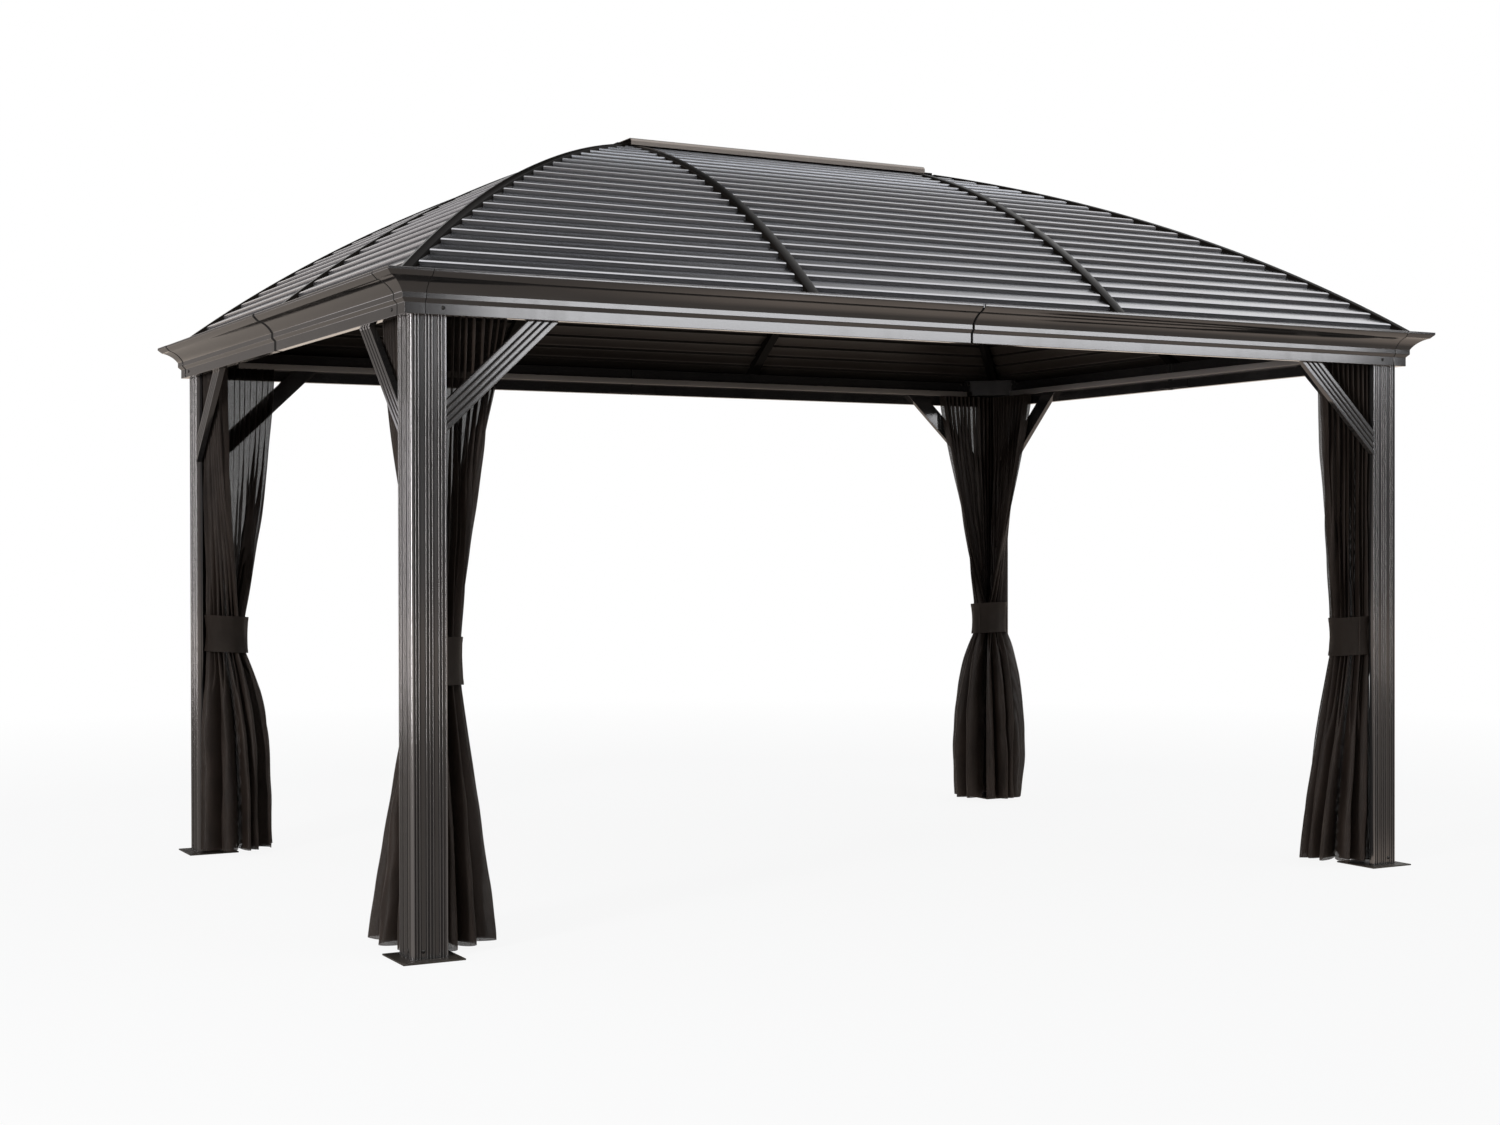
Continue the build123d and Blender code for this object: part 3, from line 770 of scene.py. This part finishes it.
def shadeSeams(mesh, axis, half):
    # painted shade in the joints: loops cut across the beam, dark between them
    shade, soft, slack = seamLook["shade"][axis], seamLook["soft"], seamLook["slack"]
    joint = half - seamLook["cornerReach"]
    middle = seamLook["gap"] / 2 + shade
    strips = [(-joint - shade, -joint + shade), (-middle, middle), (joint - shade, joint + shade)]
    work = bmesh.new()
    work.from_mesh(mesh)
    paintedLight = work.verts.layers.float.new("paintedLight")
    facing = Vector((1 - axis, axis, 0))
    for low, high in strips:
        for cut in (low - soft, low, high, high + soft):
            everything = work.verts[:] + work.edges[:] + work.faces[:]
            bmesh.ops.bisect_plane(work, geom=everything, dist=weldReach,
                                   plane_co=facing * cut, plane_no=facing)
    for vertex in work.verts:
        if any(low - slack < vertex.co[axis] < high + slack for low, high in strips):
            vertex[paintedLight] = -1.0
    work.to_mesh(mesh)
    work.free()


def shadeGrooves(mesh):
    # painted shade on the floors of the grooves along the knee braces
    floors = [size / 2 - seamLook["grooveFloor"] for size in (gazebo["length"], gazebo["width"])]
    paintedLight = mesh.attributes.new("paintedLight", "FLOAT", "POINT")
    for vertex, item in zip(mesh.vertices, paintedLight.data):
        nearest = min(abs(abs(vertex.co[axis]) - floors[axis]) for axis in (0, 1))
        item.value = -1.0 if nearest < seamLook["grooveSlack"] else 0.0


def easeEdges(name, node, slot, finish, width):
    mesh = cadNodes[node].data.copy()
    mesh.name = name
    if "custom_normal" in mesh.attributes:
        mesh.attributes.remove(mesh.attributes["custom_normal"])
    work = bmesh.new()
    work.from_mesh(mesh)
    bmesh.ops.remove_doubles(work, verts=work.verts, dist=easeLook["weld"])
    bmesh.ops.dissolve_limit(work, angle_limit=math.radians(easeLook["flatAngle"]),
                             verts=work.verts, edges=work.edges)
    work.to_mesh(mesh)
    work.free()
    mesh.materials.clear()
    mesh.materials.append(finish)
    smoothAll(mesh)
    piece = addObject(name, mesh)
    ease = piece.modifiers.new("ease", "BEVEL")
    ease.width = width
    ease.segments = easeLook["segments"]
    ease.limit_method = "ANGLE"
    ease.angle_limit = math.radians(easeLook["easeAngle"])
    ease.use_clamp_overlap = True
    bakeModifiers(piece)
    if node.startswith(("beam_front", "beam_back")):
        shadeSeams(piece.data, 0, gazebo["length"] / 2)
    elif node.startswith(("beam_left", "beam_right")):
        shadeSeams(piece.data, 1, gazebo["width"] / 2)
    elif node.startswith("knee_braces"):
        shadeGrooves(piece.data)
    sharpen(piece.data, easeLook["sharp"])
    even = piece.modifiers.new("even", "WEIGHTED_NORMAL")  # wide faces keep their own normals
    even.keep_sharp = True
    bakeModifiers(piece)
    return finishPiece(piece, slot, node)


# node, slot, finish, width of the eased edges
easedPieces = [
    ("foot_plates", "foot_plates", "plateCoat", 0.0008),
    ("corner_gussets", "frame", "frameCoat", 0.0008),
    ("curtain_rails", "frame", "railCoat", 0.0010),
    ("beam_splices", "frame", "frameCoat", 0.0006),
    ("ridge_beam", "roof_ribs", "ribCoat", 0.0020),
    ("ridge_cap", "roof_ribs", "capCoat", 0.0006),
]
for cornerName in cornerSides:
    yName, xName = cornerName.split("_")
    easedPieces += [
        (f"beam_{yName}_{xName}", "frame", "frameCoat", 0.0014),
        (f"beam_{xName}_{yName}", "frame", "frameCoat", 0.0014),
        (f"corner_{cornerName}", "frame", "frameCoat", 0.0012),
        (f"knee_braces_{cornerName}", "frame", "frameCoat", 0.0010),
    ]
for node, slot, finishName, width in easedPieces:
    easeEdges(f"eased_{node}", node, slot, coats[finishName], width)
print("rigid pieces eased:", len(easedPieces))


# netting, gathered along two rails and tied at the waist

netLook = {
    "flat": (3.10, 2.00),    # cut width and length of one curtain
    "folds": 23,
    "columns": 560,
    "rows": 110,
    "top": 2.0205,           # just under the rails
    "hem": 0.016,
    "bandMiddle": 0.908,
    "bandHeight": 0.150,
    "inner": 0.132,          # lip to the netting, clear of the post
    "railLine": 0.022,       # from there to the middle of the gathered top
    "railTurn": 0.030,
    "topReach": 0.458,       # lip to the ends of the gathered top
    "waist": 0.080,          # radius of the tied bundle
    "waistInset": 0.2265,    # lip to the middle of the tied bundle
    "waistShares": (0.60, 0.60, 0.53),   # its ring and the depth of its folds
    "skirtShares": (0.78, 0.72),
    "skirtFolds": 0.072,
    "ringGap": 0.25,         # radians left open towards the room
    "pleat": 0.0215,
    "pleatUneven": 0.2,
    "foldSway": 1.4,
    "fineFold": (0.6, 1.2),  # roundness and depth of the folds, fine and broad
    "broadFold": (0.38, 1.3),
    "broaden": (1.3, 0.35),  # how far the skirt and the gathering broaden them
    "strayFold": (0.18, 2.6, 2.2),
    "tuck": 0.10,            # skirts that open at once draw in at the hem
    "tuckFrom": 2,
    "crumple": 0.011,
    "crumpleSkirt": 1.4,
    "crumpleWide": (16, 1, 6, 5, 1.7),   # scales along, by seed, down, slanted and by seed
    "crumpleFine": (38, 0, 15, -9, 2.9),
    "crumpleShare": 0.5,
    "postEnd": 0.232,        # past the post's legs the skirt may reach out
    "skirtInset": 0.075,
    "hemLift": 0.012,
}
# slow waves across the cloth: amount, half turns across it, lean down it
netWaves = {
    "sway": (0.8, 4, 1.1),
    "fineSway": (0.5, 10, -1.7),
    "uneven": (0.07, 6, 1.6),
    "fineUneven": (0.05, 14, 3.5),
    "drift": (1.3, 4, 0),
    "lift": (0.5, 3, 0),
}
# each corner's skirt: middle of the hem, half width and half depth, how soon it opens
skirts = {
    "front_left": {"hem": (0.240, 0.315), "wide": 0.200, "deep": 0.115, "soon": 1.15, "hang": (1.0, 2.1)},
    "front_right": {"hem": (0.262, 0.278), "wide": 0.150, "deep": 0.120, "soon": 1.30, "hang": (1.7, 1.3)},
    "back_left": {"hem": (0.266, 0.270), "wide": 0.138, "deep": 0.125, "soon": 3.2, "hang": (1.5, 1.4)},
    "back_right": {"hem": (0.272, 0.272), "wide": 0.150, "deep": 0.120, "soon": 4.5, "hang": (1.2, 1.2)},
}


def topLine(share):
    # the gathered top: along one rail, round the corner and along the other
    reach, turn = netLook["topReach"], netLook["railTurn"]
    line = netLook["inner"] + netLook["railLine"]
    straight = reach - line - turn
    bend = turn * math.pi / 2
    run = share * (2 * straight + bend)
    if run < straight:
        return Vector((reach - run, line)), Vector((0, 1))
    if run < straight + bend:
        angle = (run - straight) / turn
        return (Vector((line + turn - turn * math.sin(angle), line + turn - turn * math.cos(angle))),
                Vector((math.sin(angle), math.cos(angle))))
    return Vector((line, line + turn + run - straight - bend)), Vector((1, 0))


def bundleRing(share, wide, deep, middle):
    # the tied bundle seen from above: nearly a closed ring, open towards the room
    gap = netLook["ringGap"]
    angle = -gap / 2 - (2 * math.pi - gap) * share
    along = Vector((1, 1)) / math.sqrt(2)
    aside = Vector((1, -1)) / math.sqrt(2)
    out = along * math.cos(angle) - aside * math.sin(angle)
    spot = middle + along * (deep * math.cos(angle)) - aside * (wide * math.sin(angle))
    return spot, out


def netWave(name, share, fall, phase):
    amount, halfTurns, lean = netWaves[name]
    return amount * math.sin(halfTurns * math.pi * share + phase + lean * fall)


def foldShape(turn, shape):
    roundness, depth = shape
    return 2 * abs(math.cos(turn)) ** roundness - depth


def crumpleAt(share, fall, seed, scales):
    along, start, down, slant, shift = scales
    return noise.noise(Vector((share * along + seed * start, fall * down + share * slant, seed * shift)))


def dressCloth(mesh, uvs, finish):
    layer = mesh.uv_layers.new(name="cloth")
    for loop in mesh.loops:
        layer.data[loop.index].uv = uvs[loop.vertex_index]
    mesh.materials.append(finish)


def makeNet(name, node, matrix, seed, skirtLook):
    look = netLook
    dice = random.Random(seed)
    columns, rows = look["columns"], look["rows"]
    phases = [dice.uniform(0, 2 * math.pi) for turn in range(8)]
    waistSpot = Vector((look["waistInset"], look["waistInset"]))
    hemSpot = Vector(skirtLook["hem"])
    bandLow = look["bandMiddle"] - look["bandHeight"] / 2
    bandHigh = look["bandMiddle"] + look["bandHeight"] / 2
    waist = [look["waist"] * share for share in look["waistShares"]]
    hem = [skirtLook["wide"] * look["skirtShares"][0], skirtLook["deep"] * look["skirtShares"][1],
           look["skirtFolds"]]
    tuck = look["tuck"] if skirtLook["soon"] > look["tuckFrom"] else 0.0
    broadSkirt, broadGather = look["broaden"]
    stray, strayTurns, strayLean = look["strayFold"]
    points, uvs = [], []
    for row in range(rows + 1):
        fall = row / rows
        height = look["top"] + (look["hem"] - look["top"]) * fall
        drop = min((look["top"] - height) / (look["top"] - bandHigh), 1.0)
        opened = max((bandLow - height) / (bandLow - look["hem"]), 0.0)
        skirt = (1 - (1 - opened) ** skirtLook["soon"]) * (1 - tuck * opened)
        wide, deep, thick = (tied + (free - tied) * skirt for tied, free in zip(waist, hem))
        middle = waistSpot.lerp(hemSpot, skirt)
        for column in range(columns + 1):
            share = column / columns
            gather = drop ** (skirtLook["hang"][0] * (1 - share) + skirtLook["hang"][1] * share)
            sway = netWave("sway", share, fall, phases[0]) + netWave("fineSway", share, fall, phases[1])
            turn = 2 * math.pi * look["folds"] * share + look["foldSway"] * sway
            drift = netWave("drift", share, fall, phases[6]) * opened
            swing = foldShape(turn / 2, look["fineFold"])
            broad = foldShape(turn / 4 + drift + phases[7], look["broadFold"])
            swing += (broad - swing) * min(broadSkirt * skirt + broadGather * gather ** 3, 1.0)
            swing += stray * math.sin(turn / strayTurns + phases[2] + strayLean * fall)
            spot, out = topLine(share)
            pleat = math.sin(turn) + look["pleatUneven"] * math.sin(2 * turn + phases[3])
            spot = spot + out * (look["pleat"] * pleat)
            uneven = 1 + netWave("uneven", share, fall, phases[4])
            uneven += netWave("fineUneven", share, fall, phases[5])
            ringSpot, ringOut = bundleRing(share, wide * uneven, deep * uneven, middle)
            ringSpot = ringSpot + ringOut * thick * swing
            spot = spot.lerp(ringSpot, gather)
            loose = 4 * gather * (1 - gather) + look["crumpleSkirt"] * skirt
            crumple = crumpleAt(share, fall, seed, look["crumpleWide"])
            crumple += look["crumpleShare"] * crumpleAt(share, fall, seed, look["crumpleFine"])
            spot = spot + ringOut * crumple * look["crumple"] * loose
            beside = max(spot.x, spot.y) < look["postEnd"] or skirt == 0
            low = look["inner"] if beside else look["skirtInset"]
            lift = look["hemLift"] * skirt * (0.5 + netWave("lift", share, fall, phases[6]))
            points.append((max(spot.x, low), max(spot.y, low), height + lift * opened))
            uvs.append((share * look["flat"][0], fall * look["flat"][1]))
    faces = []
    stride = columns + 1
    for row in range(rows):
        faces += stripFaces(row * stride, (row + 1) * stride, stride)
    mesh = meshFrom(name, points, faces, matrix, closed=False)
    dressCloth(mesh, uvs, cloths["netCloth"])
    return finishPiece(addObject(name, mesh), "netting", node)


bandLook = {
    "around": 96,
    "rows": 14,
    "thickness": 0.0022,
    "clear": 0.0055,         # outside the bundle
    "lump": 0.0045,
    "lumpScales": (2.2, 1.5),  # around and up the band
    "dip": 0.004,
    "hem": 0.0010,
    "hemShare": 0.12,
    "slant": 0.006,
    "length": 0.55,
    "sharp": 50,             # degrees
}


def makeBand(name, matrix, seed):
    look = bandLook
    around, rows = look["around"], look["rows"]
    middle, tall = netLook["waistInset"], netLook["bandHeight"]
    low = netLook["bandMiddle"] - tall / 2
    lumpAround, lumpUp = look["lumpScales"]
    points, uvs = [], []
    for wall in (0, 1):
        for row in range(rows + 1):
            climb = row / rows
            hemmed = look["hem"] if min(climb, 1 - climb) < look["hemShare"] else 0.0
            for step in range(around):
                angle = 2 * math.pi * step / around
                x, y = math.cos(angle), math.sin(angle)
                lump = noise.noise(Vector((x * lumpAround, y * lumpAround, climb * lumpUp + seed)))
                radius = netLook["waist"] + look["clear"] + look["lump"] * lump
                radius += (look["thickness"] + hemmed) * wall - look["dip"] * math.sin(math.pi * climb)
                slant = look["slant"] * math.sin(angle + seed)
                points.append((middle + radius * x, middle + radius * y, low + tall * climb + slant))
                uvs.append((step / around * look["length"], climb * tall))
    outer = (rows + 1) * around
    faces = []
    for start in [wall * outer + row * around for wall in (0, 1) for row in range(rows)]:
        faces += stripFaces(start, start + around, around, around=True)
    for start in (0, rows * around):
        faces += stripFaces(start, outer + start, around, around=True)
    mesh = meshFrom(name, points, faces, matrix)
    dressCloth(mesh, uvs, cloths["bandCloth"])
    sharpen(mesh, look["sharp"])
    return finishPiece(addObject(name, mesh), "tie_bands", "tie_bands")


for seed, (cornerName, (xSide, ySide)) in enumerate(cornerSides.items(), start=3):
    corner = cornerMatrix(xSide, ySide)
    net = makeNet(f"net_{cornerName}", f"netting_{cornerName}", corner, seed, skirts[cornerName])
    band = makeBand(f"band_{cornerName}", corner, seed)
    area = sum(face.area for face in net.data.polygons)
    print("cloth share of the flat cut:", round(area / netLook["flat"][0] / netLook["flat"][1], 3))
print("netting and tie bands made")


# screws: small domed heads set along the frame

screwLook = {
    "radius": 0.0065,
    "rise": 0.0035,
    "segments": 14,
    "rings": 8,
    "bandInset": 0.0805,     # lip to the face of the lower band
    "bandAlong": 0.203,
    "bandHeight": 1.9965,
    "postShare": 0.32,       # place across a post's leg
    "postHeight": 0.030,
    "plateThickness": 0.004,  # gusset plates, two rows of two heads on each arm
    "plateAlong": (0.164, 0.204),
    "plateHeights": (2.050, 2.085),
}


def makeScrewTree():
    tree, given, made = groupTree("screwHeads", "GeometryNodeTree", {
        "Spots": "NodeSocketGeometry", "Radius": 0.006, "Rise": 0.003, "Finish": "NodeSocketMaterial",
    }, ["Geometry"], "NodeSocketGeometry")
    kept = given.outputs
    dome = addNode(tree, "GeometryNodeMeshUVSphere", {
        "Segments": screwLook["segments"], "Rings": screwLook["rings"], "Radius": 1.0})
    size = addNode(tree, "ShaderNodeCombineXYZ", {
        "X": kept["Radius"], "Y": kept["Radius"], "Z": kept["Rise"]})
    aim = addNode(tree, "GeometryNodeInputNamedAttribute", {"Name": "aim"}, data_type="FLOAT_VECTOR")
    turned = addNode(tree, "FunctionNodeAlignRotationToVector", {
        "Vector": aim.outputs["Attribute"]}, axis="Z")
    heads = addNode(tree, "GeometryNodeInstanceOnPoints", {
        "Points": kept["Spots"], "Instance": dome.outputs["Mesh"],
        "Rotation": turned.outputs["Rotation"], "Scale": size.outputs[0]})
    endGeometry(tree, made, heads.outputs[0], kept["Finish"])
    return tree


def screwSpots():
    # place and facing of every head: insets from a corner, then both ways round at all four
    look, back = screwLook, gazebo["beamBack"]
    found = [(look["bandAlong"], look["bandInset"], look["bandHeight"], -1),
             (back + postLook["leg"] * look["postShare"], back + postLook["bead"], look["postHeight"], -1)]
    found += [(back + along, back + look["plateThickness"], height, 1)
              for along in look["plateAlong"] for height in look["plateHeights"]]
    spots = []
    for xSide, ySide in cornerSides.values():
        matrix = cornerMatrix(xSide, ySide)
        turn = matrix.to_3x3()
        for along, face, height, facing in found:
            spots.append((matrix @ Vector((along, face, height)), turn @ Vector((0, facing, 0))))
            spots.append((matrix @ Vector((face, along, height)), turn @ Vector((facing, 0, 0))))
    return spots


def makeScrews():
    found = screwSpots()
    mesh = bpy.data.meshes.new("screws")
    mesh.from_pydata([tuple(place) for place, facing in found], [], [])
    aims = mesh.attributes.new("aim", "FLOAT_VECTOR", "POINT")
    for item, (place, facing) in zip(aims.data, found):
        item.vector = facing
    piece = addObject("screws", mesh)
    heads = piece.modifiers.new("heads", "NODES")
    heads.node_group = makeScrewTree()
    setInputs(heads, {
        "Radius": screwLook["radius"], "Rise": screwLook["rise"], "Finish": coats["screwCoat"]})
    bakeModifiers(piece)
    finishPiece(piece, "frame")


makeScrews()
print("screws set")


# floor, light and camera

stageLook = {
    "floorSize": 60.0,
    "floorShade": (0.25, 0.24, 0.23, 1),   # as a source of light, and as the camera sees it
    "floorSeen": (0.9, 0.9, 0.9, 1),
    "floorWarm": (1.0, 0.86, 0.74, 1),     # tint of the ground in reflections
    "white": (1.0, 1.0, 1.0, 1),
    "skyColour": (0.92, 0.96, 1.0, 1),
    "skyStrength": 0.42,
    "frontWall": 0.36,       # brightness of the studio in reflections: behind the camera,
    "backWall": (0.05, 0.38),  # behind the gazebo from right to left,
    "backGlow": (0.0, 1.15),   # with a paler patch high on its left
    "backFlare": (0.0, 0.45),  # and another at its right,
    "ceiling": (0.06, 2.30),   # and overhead from the back left to the front right
    "frontCeiling": (0.0, 1.20),
    "warmTurn": (0.20, -0.10),
    "warmColour": (1.0, 0.91, 0.85, 1),
    "backTurn": (0.25, -0.20),
    "glowTurn": (0.32, 0.15),
    "glowRise": (0.12, 0.30),
    "flareTurn": (0.44, 0.56),
    "slant": (0.8, -0.6),    # direction across the ceiling
    "ceilingTurn": (0.0, 0.22),
    "frontTurn": (0.20, -0.30),
    "sideTurn": (-0.25, 0.15),
    "wallTop": (0.30, 0.55),
    "floorWhite": 0.90,
    "floorMirrored": 0.38,   # the ground in reflections,
    "patch": (0.0, 0.80),    # a painted pool of light under the roof
    "patchAlong": (-0.7, 0.6),
    "patchIn": (-2.2, -1.4),
    "far": (0.0, 0.70),      # and far off
    "farFrom": (11.0, 18.0),
    "fade": (4.0, 9.0),
}


def mixShaders(tree, outKind, amount, first, second):
    mix = addNode(tree, "ShaderNodeMixShader", {0: amount, 1: first.outputs[0], 2: second.outputs[0]})
    addNode(tree, outKind, {0: mix.outputs[0]})


def makeWorld():
    look = stageLook
    world = bpy.data.worlds.new("studio")
    bpy.context.scene.world = world
    world.use_nodes = True
    tree = world.node_tree
    tree.nodes.clear()
    light = addNode(tree, "ShaderNodeBackground", {
        "Color": look["skyColour"], "Strength": look["skyStrength"]})
    parts = addNode(tree, "ShaderNodeSeparateXYZ", {
        0: addNode(tree, "ShaderNodeTexCoord").outputs["Generated"]})
    x, y, z = (parts.outputs[axis] for axis in "XYZ")
    back = remap(tree, x, *look["backTurn"], *look["backWall"])
    glow = remap(tree, x, *look["glowTurn"], *look["backGlow"])
    glow = maths(tree, "MULTIPLY", glow, remap(tree, z, *look["glowRise"], 0.0, 1.0))
    flare = remap(tree, x, *look["flareTurn"], *look["backFlare"])
    back = maths(tree, "ADD", maths(tree, "ADD", back, glow), flare)
    wall = remap(tree, y, *look["sideTurn"], look["frontWall"], back)
    alongX, alongY = look["slant"]
    slanted = maths(tree, "MULTIPLY_ADD", y, alongY, maths(tree, "MULTIPLY", x, alongX))
    ceiling = maths(tree, "ADD", remap(tree, slanted, *look["ceilingTurn"], *look["ceiling"]),
                    remap(tree, y, *look["frontTurn"], *look["frontCeiling"]))
    mirrored = remap(tree, z, *look["wallTop"], wall, ceiling)
    path = addNode(tree, "ShaderNodeLightPath")
    bare = maths(tree, "MAXIMUM", path.outputs["Is Camera Ray"], path.outputs["Is Transmission Ray"])
    warm = maths(tree, "MULTIPLY", maths(tree, "SUBTRACT", 1.0, bare),
                 remap(tree, x, *look["warmTurn"], 0.0, 1.0))
    studio = addNode(tree, "ShaderNodeBackground", {
        "Color": blendColour(tree, warm, look["white"], look["warmColour"]),
        "Strength": maths(tree, "MAXIMUM", mirrored, bare)})
    shown = maths(tree, "MAXIMUM", bare, path.outputs["Is Glossy Ray"])
    mixShaders(tree, "ShaderNodeOutputWorld", shown, light, studio)


def makeFloor():
    look = stageLook
    half = look["floorSize"] / 2
    corners = [(-half, -half, 0), (half, -half, 0), (half, half, 0), (-half, half, 0)]
    floor = addObject("floor", meshFrom("floor", corners, [(0, 1, 2, 3)], smooth=False, closed=False))
    finish = bpy.data.materials.new("floorFinish")
    finish.use_nodes = True
    tree = finish.node_tree
    tree.nodes.clear()
    path = addNode(tree, "ShaderNodeLightPath")
    camera, glossy = path.outputs["Is Camera Ray"], path.outputs["Is Glossy Ray"]
    plain = addNode(tree, "ShaderNodeBsdfDiffuse", {
        "Color": blendColour(tree, camera, look["floorShade"], look["floorSeen"])})
    pale = addNode(tree, "ShaderNodeEmission", {
        "Color": blendColour(tree, glossy, look["white"], look["floorWarm"])})
    spot = addNode(tree, "ShaderNodeTexCoord").outputs["Object"]
    away = addNode(tree, "ShaderNodeVectorMath", {0: spot}, operation="LENGTH").outputs["Value"]
    parts = addNode(tree, "ShaderNodeSeparateXYZ", {0: spot})
    # a painted pool of light on the ground, seen only in reflections
    patch = maths(tree, "MULTIPLY", remap(tree, parts.outputs["X"], *look["patchAlong"], *look["patch"]),
                  remap(tree, parts.outputs["Y"], *look["patchIn"], 0.0, 1.0))
    far = remap(tree, away, *look["farFrom"], *look["far"])
    mirrored = maths(tree, "ADD", maths(tree, "ADD", patch, far), look["floorMirrored"])
    seen = maths(tree, "MAXIMUM", camera, path.outputs["Is Transmission Ray"])
    seen = maths(tree, "MAXIMUM", seen, maths(tree, "MULTIPLY", glossy, mirrored))
    shown = maths(tree, "MULTIPLY", seen, remap(tree, away, *look["fade"], look["floorWhite"], 1.0))
    mixShaders(tree, "ShaderNodeOutputMaterial", shown, plain, pale)
    floor.data.materials.append(finish)


lamps = [
    # name, place, aimed at, width, height, power, colour
    ("keyLamp", (6.47, -11.59, 3.42), (1.04, -0.59, 1.26), 8.10, 1.50, 274.0, (0.93, 0.97, 1.0)),
    ("sideLamp", (-7.5, 7.5, 1.25), (-2.0, 0, 1.2), 6.0, 2.4, 58.0, (0.96, 0.94, 1.0)),
    ("stripLamp", (-8.9, -5.0, 2.2), (-2.0, -1.3, 1.4), 1.2, 4.4, 480.0, (1.0, 0.99, 0.98)),
]


def makeLamps():
    for name, place, aim, width, height, power, colour in lamps:
        lamp = bpy.data.lights.new(name, "AREA")
        lamp.shape = "RECTANGLE"
        lamp.size = width
        lamp.size_y = height
        lamp.energy = power
        lamp.color = colour
        holder = addObject(name, lamp)
        holder.location = place
        holder.rotation_euler = (Vector(aim) - Vector(place)).to_track_quat("-Z", "Y").to_euler()


cameraLook = {
    "place": (-4.2112, -7.5288, 1.2626),
    "tilt": 89.600,          # degrees, 90 looks level
    "turn": -28.501,
    "roll": 0.115,
    "lens": 50.81,
    "sensor": 36.0,
}


def makeCamera():
    lens = bpy.data.cameras.new("camera")
    lens.lens = cameraLook["lens"]
    lens.sensor_width = cameraLook["sensor"]
    lens.sensor_fit = "HORIZONTAL"
    holder = addObject("camera", lens)
    holder.location = cameraLook["place"]
    holder.rotation_euler = [math.radians(cameraLook[key]) for key in ("tilt", "roll", "turn")]
    bpy.context.scene.camera = holder


makeWorld()
makeFloor()
makeLamps()
makeCamera()
bpy.context.scene.view_settings.view_transform = "Standard"
print("stage, lamps and camera ready")
